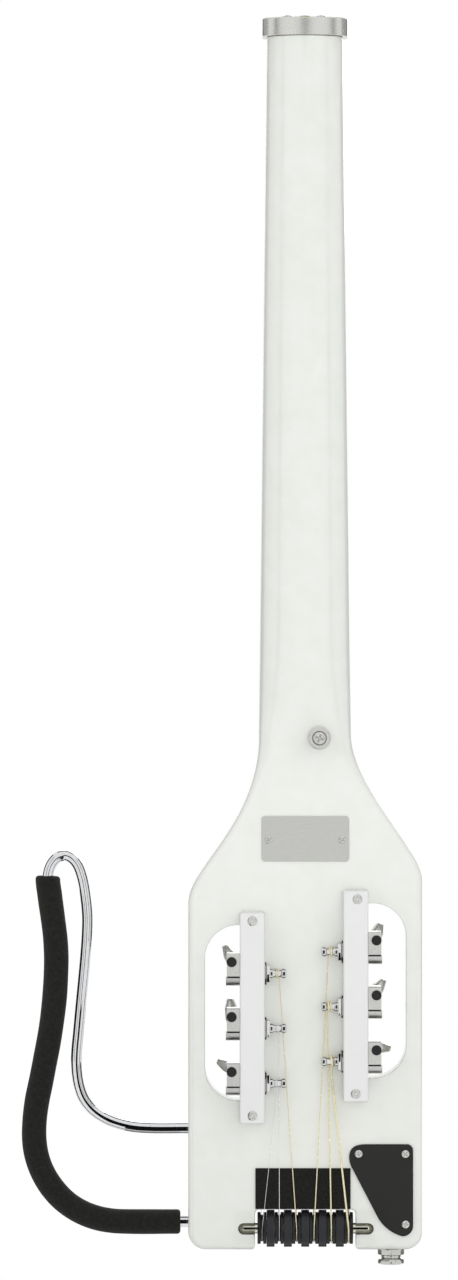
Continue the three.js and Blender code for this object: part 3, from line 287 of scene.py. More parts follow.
def carved(piece, cutters):
    """Takes each cutter out of a piece by an exact boolean, and keeps the result as its mesh."""
    for cutter in cutters:
        step = piece.modifiers.new("cut", "BOOLEAN")
        step.operation, step.solver, step.object = "DIFFERENCE", "EXACT", cutter
    view = bpy.context.evaluated_depsgraph_get()
    result = bpy.data.meshes.new_from_object(piece.evaluated_get(view))
    piece.modifiers.clear()
    piece.data = result
    for cutter in cutters:
        bpy.data.objects.remove(cutter)
    return piece


def crisp(piece, degrees=32):
    """Keeps edges sharper than the angle, and lets the broad faces set the shading elsewhere."""
    piece.data.shade_smooth()
    piece.data.set_sharp_from_angle(angle=math.radians(degrees))
    piece.modifiers.new("broad_faces_lead", "WEIGHTED_NORMAL").keep_sharp = True
    return piece


def arc_rectangle(left, low, right, high, radii, grow=0.0, steps=12):
    """A rectangle with round corners, lower left first and then right round, grown outwards."""
    turns = np.linspace(0, np.pi / 2, steps)
    corners = ((left, low, 1, 1, np.pi), (right, low, -1, 1, 1.5 * np.pi))
    corners += ((right, high, -1, -1, 0), (left, high, 1, -1, 0.5 * np.pi))
    rows = []
    for (x, z, sx, sz, start), radius in zip(corners, radii):
        reach = radius + grow
        middle = np.array([x + sx * radius, z + sz * radius])
        ring = np.stack([np.cos(start + turns), np.sin(start + turns)], -1) * reach
        rows.append(middle + ring)
    return np.concatenate(rows)


def grown_rectangle(left, low, right, high, radii, steps=12):
    """The outline of a rectangle with round corners, as a function of how far it is grown."""
    return lambda grow: arc_rectangle(left, low, right, high, radii, grow, steps)


def stacked(name, sections, axis="y"):
    """A solid through flat outlines, each of them given after its level along the axis."""
    place = "xyz".index(axis)
    rings = [np.insert(np.asarray(flat, float), place, level, 1) for level, flat in sections]
    return solid_skin(name, rings)


def prism(name, outline, start, end, axis="x"):
    """A solid of one flat outline, from its start to its end along an axis."""
    return stacked(name, [(start, outline), (end, outline)], axis)


def flared_cutter(name, outline, back, front, flare, past=2.0):
    """A plug whose outline widens to the faces as a quarter round does, so that it leaves a
    rolled edge: at a depth v below the face it grows by flare less the circle's height."""
    rolls = np.linspace(0, np.pi / 2, 7)
    deep = flare * (1 - np.sin(rolls))
    wide = flare * (1 - np.cos(rolls))
    levels = [(back - past, flare)]
    levels += list(zip(back + deep[::-1], wide[::-1]))
    levels += list(zip(front - deep, wide))
    levels += [(front + past, flare)]
    return stacked(name, [(y, outline(grow)) for y, grow in levels])


def body_rings():
    """Sections of the blank at many heights. Each has four corner quarters: across and deep
    radii give the rolled sides of the body, and on the neck's back half an ellipse. Over the
    butt corner the sides follow a circle less the roll, and close on a narrower end face."""
    heights = np.concatenate([
        np.linspace(neck_top, round_top, 12), np.linspace(round_top, 130, 70)[1:],
        np.linspace(130, butt_z + butt_corner, 12)[1:],
    ])
    turns = np.linspace(0, np.pi / 2, 9)
    z = heights[:, None]
    flat = eased((round_top - z) / (round_top - round_end))
    along = np.minimum((neck_top - z) / (neck_top - round_top), 1)
    depth = nut_deep + (heel_deep - nut_deep) * along
    depth = depth + (body_deep - depth) * flat
    left, right = -shoulder_half(z, treble_shoulder), shoulder_half(z, bass_shoulder)
    across = np.minimum(-left, right) * oval_share * (1 - flat) + body_edge * flat
    deep = (depth - neck_flank) * (1 - flat) + body_edge * flat
    nose = neck_edge * (1 - flat) + body_edge * flat
    back = body_deep - depth
    quarter = [
        (right - nose * (1 - np.cos(turns)), body_deep - nose * (1 - np.sin(turns))),
        (left + nose * (1 - np.sin(turns)), body_deep - nose * (1 - np.cos(turns))),
        (left + across * (1 - np.cos(turns)), back + deep * (1 - np.sin(turns))),
        (right - across * (1 - np.sin(turns)), back + deep * (1 - np.cos(turns))),
    ]
    x = np.concatenate([q[0] for q in quarter], 1)
    y = np.concatenate([q[1] for q in quarter], 1)
    rings = [np.stack([x, y, np.broadcast_to(z, x.shape)], -1)]
    end = []
    last_turns = np.linspace(0, np.pi / 2, 8)[1:]
    for rise in np.concatenate([
        np.linspace(butt_corner, body_edge, 9)[1:], body_edge * (1 - np.sin(last_turns)),
    ]):
        lost = max(body_edge - rise, 0)
        least = body_edge - math.sqrt(max(body_edge**2 - lost**2, 0))
        v = least + (body_edge - least) * (1 - np.sin(turns))
        roll = body_edge - np.sqrt(np.maximum(body_edge**2 - (body_edge - v) ** 2, 0))
        inner = np.sqrt(np.maximum((butt_corner - roll) ** 2 - (butt_corner - rise) ** 2, 0))
        half = body_half - butt_corner + inner
        ring_x = np.concatenate([half, -half[::-1], -half, half[::-1]])
        ring_y = np.concatenate([body_deep - v, body_deep - v[::-1], v, v[::-1]])
        end.append(np.stack([ring_x, ring_y, np.full(ring_x.shape, butt_z + rise)], -1))
    return np.concatenate([rings[0], np.array(end)])


rail_wide, post_back, worm_out, worm_rise, window_reach = 14.2, -8.2, 4.6, 6.95, 11
window_inner = {
    side: face - inward[side] * (rail_wide + worm_out - window_reach)
    for side, face in rail_face.items()
}
treble_window = grown_rectangle(-57.1, 27.8, window_inner["treble"], 127.4, (19, 4, 4, 19), 28)
bass_window = grown_rectangle(window_inner["bass"], 40.6, 57.4, 139.8, (4, 19, 19, 4), 28)
socket_low, socket_high, socket_radius, socket_end = -42.2, 11.28, 3.4, -41
notch_half, notch_top = 28.65, -34.45
axle_y, axle_z = 6.0, -45.45


def butt_notch(grow, mouth=2.2, corner=2.5):
    """The notch that holds the rollers. It is open at the butt, where a quarter round turned
    outwards widens its mouth, and a quarter round turned inwards closes each upper corner."""
    half, turns = notch_half + grow, np.linspace(0, np.pi / 2, 12)
    low = butt_z + mouth
    flank = np.column_stack([half + mouth - mouth * np.sin(turns), low - mouth * np.cos(turns)])
    head = np.column_stack([
        half - corner * (1 - np.cos(turns)), notch_top + grow - corner * (1 - np.sin(turns)),
    ])
    right = np.vstack([[(half + mouth, butt_z - 6)], flank, head])
    return np.vstack([right, right[::-1] * (-1, 1)])


def slab_cutter(name, low, high):
    """A plain box from its lowest to its highest corner."""
    (x0, y0, z0), (x1, y1, z1) = low, high
    return prism(name, [(x0, y0), (x1, y0), (x1, y1), (x0, y1)], z0, z1, "z")


def turned(name, profile, axis, centre, segments=48, closed=False):
    """A profile of (place along the axis, radius), turned right round that axis through a
    centre. Where the radius is nothing, the ring closes to a point, and a closed profile
    makes a ring with a bore."""
    along, radius = np.array(profile, float).T
    turns = np.linspace(0, 2 * np.pi, segments, endpoint=False)
    one = radius[:, None] * np.cos(turns)
    other = radius[:, None] * np.sin(turns)
    flat = np.broadcast_to(along[:, None], one.shape)
    order = {"x": (flat, one, other), "y": (other, flat, one), "z": (one, other, flat)}[axis]
    return solid_skin(name, np.stack(order, -1) + np.array(centre), closed)


def rod_cutter(name, axis, centre, radius, start, end, lip=0.0):
    """A round cutter with a small countersink at its start."""
    way = 1 if end > start else -1
    profile = [(start - 2 * way, 0), (start - 2 * way, radius + lip), (start, radius + lip)]
    profile += [(start + lip * way, radius), (end, radius), (end, 0)]
    return turned(name, profile, axis, centre)


body = solid_skin("body_and_neck", body_rings())
slot_half, window_flare, notch_flare = 3.25, 0.6, 1.0
axle_groove = [
    (y, arc_rectangle(-38.2, axle_z - slot_half, 38.9, axle_z + slot_half, (slot_half,) * 4, grow))
    for y, grow in ((-2, 1.9), (0.3, 0), (9.35, 0))
]
cavity = arc_rectangle(44.6, -42.5, 57, -1, (4,) * 4)
ramp_side = [(15.05, -35.45), (20.0, -35.45), (20.0, -21.1)]
strap_at, jack_at, lead_at = (7.9, 0, 233.9), (49, mid_depth, butt_z), (30, 0, 0)
carved(body, [
    flared_cutter("treble_window_cutter", treble_window, 0, body_deep, window_flare),
    flared_cutter("bass_window_cutter", bass_window, 0, body_deep, window_flare),
    flared_cutter("notch_cutter", butt_notch, 0, body_deep, notch_flare),
    stacked("axle_slot_cutter", axle_groove),
    prism("ramp_cutter", ramp_side, -notch_half, notch_half),
    slab_cutter("truss_slot_cutter", (-3.4, 10.6, 214), (3.4, 20, 635)),
    prism("cavity_cutter", cavity, -1, 16, "y"),
    slab_cutter("cavity_arm_cutter", (28.5, -1, -6), (54, 12, 0.5)),
    rod_cutter("lead_cutter", "y", lead_at, 1.4, 21, 8),
    rod_cutter("jack_cutter", "z", jack_at, 5.6, 0, 31.3, 0.4),
    rod_cutter("strap_screw_cutter", "y", strap_at, 2.2, 0, 15),
    *[
        rod_cutter("socket", "x", (0, mid_depth, z), socket_radius, -body_half, socket_end, 0.5)
        for z in (socket_low, socket_high)
    ],
])


def mottled_group():
    """Fine unevenness: a soft noise mixes a dark and a light colour, and gives its own value
    from 0 to 1 for gloss and relief. One group serves every finish on the guitar."""
    group = bpy.data.node_groups.new("fine_unevenness", "ShaderNodeTree")
    for label, kind, way in (
        ("Place", "Vector", "INPUT"), ("Scale", "Float", "INPUT"), ("Dark", "Color", "INPUT"),
        ("Light", "Color", "INPUT"), ("Colour", "Color", "OUTPUT"), ("Value", "Float", "OUTPUT"),
    ):
        group.interface.new_socket(name=label, in_out=way, socket_type=f"NodeSocket{kind}")
    enter, leave = node(group, "NodeGroupInput"), node(group, "NodeGroupOutput")
    noise = node(group, "ShaderNodeTexNoise", Detail=4)
    spread = node(group, "ShaderNodeMapRange", From_Min=0.3, From_Max=0.7)
    mix = node(group, "ShaderNodeMix", {"data_type": "RGBA"})
    wire(
        group, (enter, "Place", noise, "Vector"), (enter, "Scale", noise, "Scale"),
        (noise, "Fac", spread, "Value"), (spread, "Result", mix, "Factor"),
        (enter, "Dark", mix, "A"), (enter, "Light", mix, "B"),
        (mix, "Result", leave, "Colour"), (spread, "Result", leave, "Value"),
    )
    return group


unevenness = mottled_group()


def linear(red, green, blue):
    """A colour given as seen on screen, from 0 to 255, made linear for a shader."""
    seen = np.array([red, green, blue]) / 255
    return (*np.where(seen < 0.04045, seen / 12.92, ((seen + 0.055) / 1.055) ** 2.4), 1.0)


def dented(tree, pattern, output, depth, strength=1.0):
    """Dents a finish by a pattern, down to a depth in millimetres."""
    bump = node(tree, "ShaderNodeBump", Strength=strength, Distance=depth * MM)
    skin = tree.nodes["Principled BSDF"]
    wire(tree, (pattern, output, bump, "Height"), (bump, "Normal", skin, "Normal"))
    return bump


def finish(name, dark, light, scale, gloss, relief=0.0, metal=0.0, stretch=(1, 1, 1), **shader):
    """A finish whose colour and roughness wander between two ends with the fine unevenness,
    placed by the piece's own coordinates and stretched along the way it was brushed."""
    material, tree, skin = new_material(name)
    for socket, value in {"Metallic": metal, **shader}.items():
        skin.inputs[socket.replace("_", " ")].default_value = value
    place = node(tree, "ShaderNodeTexCoord")
    turn = node(tree, "ShaderNodeMapping", Scale=stretch)
    fine = node(
        tree, "ShaderNodeGroup", {"node_tree": unevenness}, Scale=scale,
        Dark=linear(*dark), Light=linear(*light),
    )
    rough = node(tree, "ShaderNodeMapRange", To_Min=gloss[0], To_Max=gloss[1])
    wire(
        tree, (place, "Object", turn, "Vector"), (turn, "Vector", fine, "Place"),
        (fine, "Colour", skin, "Base Color"), (fine, "Value", rough, "Value"),
        (rough, "Result", skin, "Roughness"),
    )
    if relief:
        dented(tree, fine, "Value", relief)
    return material


def fitted(piece, material, body_name, slot_name, *nodes):
    """Gives a piece its finish, the body it moves with, and the CAD nodes it stands for."""
    if not piece.data.materials:
        piece.data.materials.append(material)
    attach(piece, body_name)
    if nodes:
        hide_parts(*nodes)
    return piece


white_lacquer = finish(
    "white_lacquer", (227, 229, 223), (231, 233, 228), 90, (0.14, 0.2),
    relief=0.002, Coat_Weight=0.35, Coat_Roughness=0.06,
)
fitted(crisp(body), white_lacquer, "root", "white_lacquer", "neck_body")

# The two tuner rails. Each is a square bar of the same wood, sprayed a shade cooler than the
# body, bored across for three posts and screwed to the back by a pan-head screw at each end.

rail_length, rail_deep, rail_edge, rail_corner = 119.7, 16.0, 1.1, 1.5
bushing_bore, screw_reach, screw_sunk = 4.6, 55.1, 0.8
rail_lacquer = finish(
    "rail_lacquer", (224, 225, 224), (226, 227, 226), 90, (0.22, 0.27),
    relief=0.001, Coat_Weight=0.2, Coat_Roughness=0.12,
)


def rolled_levels(back, front, roll_back, roll_front, steps=6):
    """Depths and insets of a plate whose two faces are rolled over by a quarter round: at a
    sine of the way the inset is the roll less its cosine."""
    turns = np.linspace(0, np.pi / 2, steps)
    start = [(back + roll_back * (1 - np.sin(t)), roll_back * (1 - np.cos(t))) for t in turns[::-1]]
    stop = [(front - roll_front * (1 - np.sin(t)), roll_front * (1 - np.cos(t))) for t in turns]
    return start + stop


def rolled_plate(name, outline, levels, axis="y"):
    """A plate standing along an axis: the outline shrinks by the inset at each depth."""
    return stacked(name, [(depth, outline(-inset)) for depth, inset in levels], axis)


def rail_bar(name, left, middle):
    """A rail from its left side, centred on a height, open where the bushings pass."""
    low, high = middle - rail_length / 2, middle + rail_length / 2
    outline = grown_rectangle(left, low, left + rail_wide, high, (rail_corner,) * 4)
    return rolled_plate(name, outline, rolled_levels(-rail_deep, 0, rail_edge, 0.2))


screw_steel = finish(
    "nickel_plated_screws", (196, 196, 192), (216, 216, 213), 900, (0.16, 0.26),
    relief=0.002, metal=1.0,
)


def screw_head(name, centre, radius, rise, turn, axis="y"):
    """A pan-head screw: a dome that rises by one less the fourth power of the share of its
    radius, pressed in where two crossed bars meet near the middle, on rings round its axis."""
    shares = np.concatenate([[0.0], np.linspace(0.06, 1, 20)])
    turns = np.linspace(0, 2 * np.pi, 48, endpoint=False)
    r, a = np.meshgrid(shares, turns, indexing="ij")
    u, v = r * np.cos(a + turn), r * np.sin(a + turn)
    near = np.clip((0.66 - r) / 0.1, 0, 1)
    bar = np.maximum(np.clip((0.13 - abs(u)) / 0.05, 0, 1), np.clip((0.13 - abs(v)) / 0.05, 0, 1))
    up = rise * (1 - 0.55 * r**4) - 0.7 * rise * near * bar
    up[-1] = rise * 0.3
    skirt = np.zeros(len(turns))
    x, y = radius * r * np.cos(a), radius * r * np.sin(a)
    x, y, up = (np.vstack([q, q2]) for q, q2 in ((x, x[-1]), (y, y[-1]), (up, skirt)))
    order = {"y": (x, -up, y), "z": (x, y, up)}[axis]
    head = solid_skin(name, np.stack(order, -1) + np.array(centre))
    return fitted(head, screw_steel, "root", "bright_steel")


rails = (
    ("treble", rail_face["treble"] - rail_wide, 75.5, (-30.2, -30.2)),
    ("bass", rail_face["bass"], 87.9, (29.3, 28.3)),
)
for side, left, middle, screws in rails:
    bar = rail_bar(f"{side}_rail_bar", left, middle)
    reach = (left - 1, left + rail_wide + 1)
    carved(bar, [
        rod_cutter("post_bore", "x", (0, post_back, z), bushing_bore, *reach)
        for z in posts_at[side]
    ])
    fitted(crisp(bar), rail_lacquer, "root", "white_rail", f"{side}_rail")
    for end, place, across in zip((1, -1), ("top", "low"), screws):
        spot = (across, screw_sunk - rail_deep, middle + end * screw_reach)
        screw_head(f"{side}_rail_screw_{place}", spot, 3.05, 1.5, turn=0.5 + end)

# The leg rest. One chromed steel rod, bent into a long loop, slides into two sockets in the
# treble side, and a tube of black foam is pushed over its outer arm as padding.

leg_reach, leg_height = 88.0, 208.9
rod_shares = np.array([
    [0, 0.256], [0.246, 0.256], [0.368, 0.26], [0.473, 0.271], [0.56, 0.287], [0.63, 0.309],
    [0.682, 0.338], [0.708, 0.367], [0.722, 0.397], [0.728, 0.43], [0.725, 0.47], [0.715, 0.514],
    [0.699, 0.587], [0.682, 0.66], [0.666, 0.734], [0.657, 0.793], [0.656, 0.837], [0.668, 0.888],
    [0.69, 0.939], [0.722, 0.975], [0.76, 0.993], [0.803, 1], [0.848, 0.995], [0.888, 0.976],
])
foam_shares = np.array([
    [0.911, 0.944], [0.898, 0.888], [0.879, 0.829], [0.864, 0.778], [0.857, 0.727], [0.859, 0.675],
    [0.867, 0.617], [0.882, 0.558], [0.903, 0.499], [0.929, 0.441], [0.956, 0.382], [0.981, 0.331],
    [0.997, 0.279], [1, 0.228], [0.986, 0.184], [0.951, 0.14], [0.89, 0.096], [0.803, 0.056],
    [0.699, 0.027], [0.594, 0.01], [0.49, 0.002], [0.386, 0], [0.052, 0],
])


def through_points(points, steps=6):
    """A smooth curve through points: each stretch blends the two straight guesses on either
    side, timed by the square roots of the distances, so that it neither loops nor overshoots."""
    points = np.vstack([2 * points[0] - points[1], points, 2 * points[-1] - points[-2]])
    p0, p1, p2, p3 = (points[k:len(points) - 3 + k, None, :] for k in range(4))
    gap = np.maximum(np.linalg.norm(np.diff(points, axis=0), axis=1), 1e-9) ** 0.5
    t1 = gap[:-2, None, None]
    t2 = t1 + gap[1:-1, None, None]
    t3 = t2 + gap[2:, None, None]
    t = t1 + (t2 - t1) * np.linspace(0, 1, steps, endpoint=False)[None, :, None]
    a1 = p0 + (p1 - p0) * t / t1
    a2 = p1 + (p2 - p1) * (t - t1) / (t2 - t1)
    a3 = p2 + (p3 - p2) * (t - t2) / (t3 - t2)
    b1 = a1 + (a2 - a1) * t / t2
    b2 = a2 + (a3 - a2) * (t - t1) / (t3 - t1)
    curve = b1 + (b2 - b1) * (t - t1) / (t2 - t1)
    return np.vstack([curve.reshape(-1, points.shape[1]), points[-2]])


def tube_rings(path, radius, sides):
    """Circles square to a path, kept from twisting by carrying one sideways arrow along it."""
    path = np.asarray(path, float)
    radius = np.broadcast_to(radius, len(path))
    way = np.gradient(path, axis=0)
    way /= np.linalg.norm(way, axis=1)[:, None]
    turns = np.linspace(0, 2 * np.pi, sides, endpoint=False)
    circle = np.column_stack([np.cos(turns), np.sin(turns)])
    arrow, rings = np.array([0.0, 1.0, 0.0]), []
    for point, along, size in zip(path, way, radius):
        arrow = arrow - along * arrow.dot(along)
        arrow /= np.linalg.norm(arrow)
        rings.append(point + size * (circle @ [arrow, np.cross(along, arrow)]))
    return np.array(rings)


def run_along(path):
    """How far each point of a path lies from its start, measured along the path."""
    return np.concatenate([[0], np.cumsum(np.linalg.norm(np.diff(path, axis=0), axis=1))])


leg_shares = np.vstack([rod_shares, foam_shares])
leg_path = np.column_stack([
    -body_half - leg_shares[:, 0] * leg_reach, np.full(len(leg_shares), mid_depth),
    socket_low + leg_shares[:, 1] * leg_height,
])
leg_curve = through_points(leg_path)
rod_end, rod_radius = -41.4, 3.05
rod_path = np.vstack([
    (rod_end, mid_depth, leg_path[0, 2]), leg_curve, (rod_end, mid_depth, socket_low),
])
rod = solid_skin("leg_rest_rod", tube_rings(rod_path, rod_radius, 24))
chrome = finish(
    "chrome", (214, 215, 217), (226, 227, 229), 500, (0.03, 0.06), metal=1.0,
)
fitted(crisp(rod, 50), chrome, "leg_rest", "chrome", "leg_rest_frame")

foam_path = leg_curve[(len(leg_curve) - 1) * len(rod_shares) // (len(leg_path) - 1):]
run = run_along(foam_path)
foam_radius, foam_bore, end_round = 7.04, 3.4, 1.8
near_ends = np.array([0.06, 0.22, 0.48, 0.85, 1.3, end_round])
stations = np.unique(np.concatenate([run, near_ends, run[-1] - near_ends]))
foam_path = np.column_stack([np.interp(stations, run, foam_path[:, axis]) for axis in range(3)])
from_round = 1 - np.clip(np.minimum(stations, run[-1] - stations) / end_round, 0, 1)
swell = 0.07 * np.sin(stations / 6.1) * np.sin(stations / 17)
puff = foam_radius - end_round * (1 - np.sqrt(1 - from_round**2)) + swell
outer = tube_rings(foam_path, puff, 32)
inner = tube_rings(foam_path, foam_bore, 32)[::-1]
sleeve = solid_skin("leg_rest_foam_tube", np.concatenate([outer, inner]), close_rows=True)

# Closed-cell foam: small round cells as pits, over the fine unevenness of its skin.
black_foam = finish(
    "black_foam", (20, 20, 18), (33, 33, 31), 420, (0.9, 1.0), Specular_IOR_Level=0.25,
    Sheen_Weight=0.06, Sheen_Roughness=0.6,
)
foam_tree = black_foam.node_tree
cells = node(foam_tree, "ShaderNodeTexVoronoi", Scale=1100)
wire(foam_tree, (foam_tree.nodes["Texture Coordinate"], "Object", cells, "Vector"))
dented(foam_tree, cells, "Distance", 0.22, 0.9)
fitted(crisp(sleeve, 60), black_foam, "leg_rest", "black_foam", "leg_rest_foam")

# The rollers. Six grooved black wheels turn the strings round the butt. They run on one
# polished steel axle that lies in a slot of the back, with smooth spacers between them.

roller_pitch = 9.85
roller_at = [(k - 2.5) * roller_pitch for k in range(6)]


def bevelled(profile, size):
    """A profile with each inner corner cut by a small curve, a share in from both sides."""
    points = np.array(profile, float)
    out = [points[0]]
    for before, here, after in zip(points[:-2], points[1:-1], points[2:]):
        back, on = before - here, after - here
        a = min(size, np.linalg.norm(back) * 0.45) * back / np.linalg.norm(back)
        b = min(size, np.linalg.norm(on) * 0.45) * on / np.linalg.norm(on)
        t = np.linspace(0, 1, 4)[:, None]
        out.extend((1 - t) ** 2 * (here + a) + 2 * t * (1 - t) * here + t * t * (here + b))
    return np.vstack([*out, points[-1]])


def turned_ring(name, profile, axis, centre, segments=64):
    """A profile with a bore, its corners eased, closed on itself and turned round."""
    loop = bevelled([*profile, profile[0], profile[1]], 0.18)[1:-1]
    return turned(name, loop, axis, centre, segments, closed=True)


black_acetal = finish(
    "black_acetal", (14, 14, 14), (22, 22, 22), 700, (0.34, 0.46), relief=0.003,
    Specular_IOR_Level=0.35,
)
blackened_steel = finish(
    "blackened_steel", (34, 35, 38), (46, 47, 51), 900, (0.3, 0.42),
    relief=0.002, metal=0.5, stretch=(1, 8, 8),
)
for k, across in enumerate(roller_at, 1):
    wheel = turned_ring(f"string_roller_{k}", [
        (-2.55, 3.475), (-2.55, 9.05), (-0.8, 9.05), (-0.62, 7.5),
        (0.62, 7.5), (0.8, 9.05), (2.55, 9.05), (2.55, 3.475),
    ], "x", (across, axle_y, axle_z))
    fitted(crisp(wheel, 40), black_acetal, f"roller_{k}", "black_plastic", f"roller_{k}")
for k, across in enumerate(np.add(roller_at[:-1], roller_pitch / 2), 1):
    ring = turned_ring(f"spacer_ring_{k}", [
        (-2.25, 3.475), (-2.25, 10.5), (2.25, 10.5), (2.25, 3.475),
    ], "x", (across, axle_y, axle_z - 0.2))
    fitted(crisp(ring, 40), blackened_steel, "root", "dark_steel", f"roller_spacer_{k}")

dome = [(-3.175 * math.cos(t), 3.175 * math.sin(t)) for t in np.linspace(0, np.pi / 2, 9)]
axle_profile = [(-34.7 + a, r) for a, r in dome] + [(35.4 - a, r) for a, r in dome[::-1]]
axle = turned("roller_axle_rod", axle_profile, "x", (0, axle_y, axle_z), 48)
polished_steel = finish(
    "polished_steel", (204, 202, 188), (218, 216, 202), 600, (0.08, 0.16),
    metal=1.0, stretch=(0.2, 6, 6),
)
fitted(crisp(axle, 50), polished_steel, "root", "bright_steel", "roller_axle")

# The six tuners. Each is a satin nickel worm gear: a cast housing screwed to the rail's outer
# side holds a steel worm and a sixteen-tooth wheel, which turns a chromed post that passes
# through the rail in a threaded bushing. The two-winged button points to the front.

axle_to_post, housing_deep = 18.8, 7.5
tooth_size, teeth, worm_pitch_radius, worm_long = 0.64, 16, 1.83, 6.0
lead = math.pi * tooth_size
gear_pitch_radius = tooth_size * teeth / 2
wheel_room, boss_radius, boss_step = 6.06, 6.8, 2.2
worm_room, worm_room_top, worm_bore = 3.3, 2.77, 1.9
wing_angles = {"treble": (116, 95, 153), "bass": (69, 55, -8)}

satin_nickel = finish(
    "satin_nickel", (196, 196, 193), (218, 218, 215), 1500, (0.3, 0.42),
    relief=0.008, metal=1.0,
)
button_nickel = finish(
    "button_nickel", (206, 206, 203), (226, 226, 223), 1500, (0.3, 0.42),
    relief=0.006, metal=1.0,
)
bushing_chrome = finish(
    "bushing_chrome", (146, 147, 146), (166, 167, 166), 800, (0.08, 0.14), metal=1.0,
)
bright_chrome = finish(
    "bright_chrome", (212, 213, 212), (226, 227, 226), 800, (0.05, 0.09), metal=1.0,
)
worm_steel = finish(
    "worm_steel", (120, 118, 112), (146, 144, 138), 900, (0.3, 0.45), metal=1.0,
)


def softened(piece, width, degrees=35):
    """Rounds a piece's hard edges by a small bevel and lets its broad faces lead the shading."""
    round_off = piece.modifiers.new("eased_edges", "BEVEL")
    round_off.width, round_off.segments = width * MM, 2
    round_off.limit_method, round_off.angle_limit = "ANGLE", math.radians(degrees)
    piece.data.shade_smooth()
    piece.modifiers.new("broad_faces_lead", "WEIGHTED_NORMAL").keep_sharp = True
    return piece


def at_post(place, side, height):
    """Moves a tuner's own coordinates, with the post along +X from the rail's inner face, to
    its place, turned over for the bass side."""
    return np.asarray(place, float) * (inward[side], 1, 1) + (rail_face[side], post_back, height)


# The casting's box over the worm and its round boss over the wheel, and between them a strip of
# black plastic set back in the step: painted shade, a black piece that stands for the shadowed
# gap in the one-piece casting. Each is an outline about the post and its two ends along it.
box_outline = arc_rectangle(
    -housing_deep, -1.4, housing_deep, worm_rise + 4.8, (0.6, 0.6, 1.5, 1.5), 0, 5,
)
below_step = math.asin(boss_step / boss_radius)
boss_turns = np.linspace(below_step - math.pi, -below_step, 25)
boss_outline = np.column_stack([np.cos(boss_turns), np.sin(boss_turns)]) * boss_radius
shade_line_outline = [(-6.35, -2.25), (6.35, -2.25), (6.35, -1.35), (-6.35, -1.35)]
housing_parts = {
    "block": (box_outline, -21.55, -14.2),
    "boss": (boss_outline, -22.1, -14.2),
    "joint": (shade_line_outline, -21.3, -14.25),
}


def wing_button(name, middle, degrees):
    """A two-winged button. At a share q of the half span its half thickness falls evenly from
    3.6 to 1.8 and rounds off at the blunt tip, its foot rises and its crown dips at the hub
    and falls at the tip. Each section is a squared oval of power 3."""
    share = np.sin(np.linspace(-np.pi / 2, np.pi / 2, 49))
    q = abs(share)
    tip = np.sqrt(np.clip(1 - np.clip((q - 0.93) / 0.07, 0, 1) ** 2, 0, 1))
    thick = (3.6 - 1.8 * np.clip((q - 0.36) / 0.6, 0, 1)) * tip
    drop = 1 - np.sqrt(np.clip(1 - np.clip((q - 0.62) / 0.38, 0, 1) ** 2, 0, 1))
    foot = 7 + 1.9 * eased((q - 0.3) / 0.5) + 4.6 * drop
    crown = 19.3 + 1.7 * eased(q / 0.6) - 7 * drop
    turns = np.linspace(0, 2 * np.pi, 32, endpoint=False)
    across = np.sign(np.cos(turns)) * abs(np.cos(turns)) ** (2 / 3)
    deep = np.sign(np.sin(turns)) * abs(np.sin(turns)) ** (2 / 3)
    mid, half = (foot + crown) / 2, (crown - foot) / 2
    a = math.radians(degrees)
    along = 9.1 * share[:, None] * np.ones(32)
    side_way = thick[:, None] * across
    x = along * math.cos(a) - side_way * math.sin(a)
    z = along * math.sin(a) + side_way * math.cos(a)
    y = mid[:, None] + half[:, None] * deep
    return solid_skin(name, np.stack([x + middle[0], y, z + middle[2]], -1))


def worm_shaft(name, side, middle):
    """The worm's shaft and collar, and its thread: a trapezoid wound round the shaft."""
    shaft = turned(name, bevelled([
        (-8.1, 0), (-8.1, 1.6), (-3, 1.6), (-3, 1.05), (3, 1.05), (3, 1.6), (7.8, 1.6),
        (7.8, 2.4), (16.2, 2.4), (16.2, 0),
    ], 0.15), "y", middle, 32)
    wound = (np.linspace(-0.5, 0.5, 64) * (worm_long / lead - 1))[:, None]
    radius = np.array([0.8, 2.47, 2.47, 0.8])
    offset = np.array([-0.475, -0.18, 0.18, 0.475])
    angle = 2 * np.pi * wound
    rings = np.stack([
        inward[side] * radius * np.sin(angle), wound * lead + offset, radius * np.cos(angle),
    ], -1) + middle
    return shaft, solid_skin(f"{name}_thread", rings)


def worm_wheel(name, side, height):
    """Sixteen leaning teeth: flat-topped flanks about the pitch circle, turned a little from
    one face of the wheel to the other so as to follow the worm's thread."""
    half_wide = 1.7
    twist = half_wide * lead / (2 * np.pi * worm_pitch_radius) / gear_pitch_radius
    root, top = gear_pitch_radius - 0.8, gear_pitch_radius + tooth_size
    radius = np.array([root, top, top, root])
    offset = np.array([-0.475, -0.2, 0.2, 0.475]) / radius
    middles = np.pi / 2 + np.arange(teeth)[:, None] * 2 * np.pi / teeth
    size = np.tile(radius, teeth)
    rings = []
    for way in (-1, 1):
        angle = (middles + offset + way * twist).ravel()
        place = np.full(len(size), way * half_wide - axle_to_post)
        rings.append(np.column_stack([place, size * np.cos(angle), size * np.sin(angle)]))
    return solid_skin(name, at_post(rings, side, height))


def tuner_post(name, side, height):
    """The post: a stem in the wheel, a journal in the bushing and a waisted spool."""
    profile = bevelled([
        (-20.5, 0), (-20.5, 2.1), (-13.9, 2.1), (-13.9, 2.8), (3.3, 2.8), (3.4, 2.7), (4.5, 2.7),
        (5.1, 2.3), (6.1, 2.05), (7.3, 1.97), (8.5, 2.05), (9.3, 2.2), (9.9, 2.7), (11.7, 2.7),
        (12.2, 2.3), (12.2, 0),
    ], 0.22)
    return turned(name, profile * (inward[side], 1), "x", at_post((0, 0, 0), side, height), 40)


def hexagon(radius, middle, lean=0.0):
    """Six corners round a middle, the first of them at the lean."""
    turns = lean + np.arange(6) * np.pi / 3
    return np.column_stack([np.cos(turns), np.sin(turns)]) * radius + middle


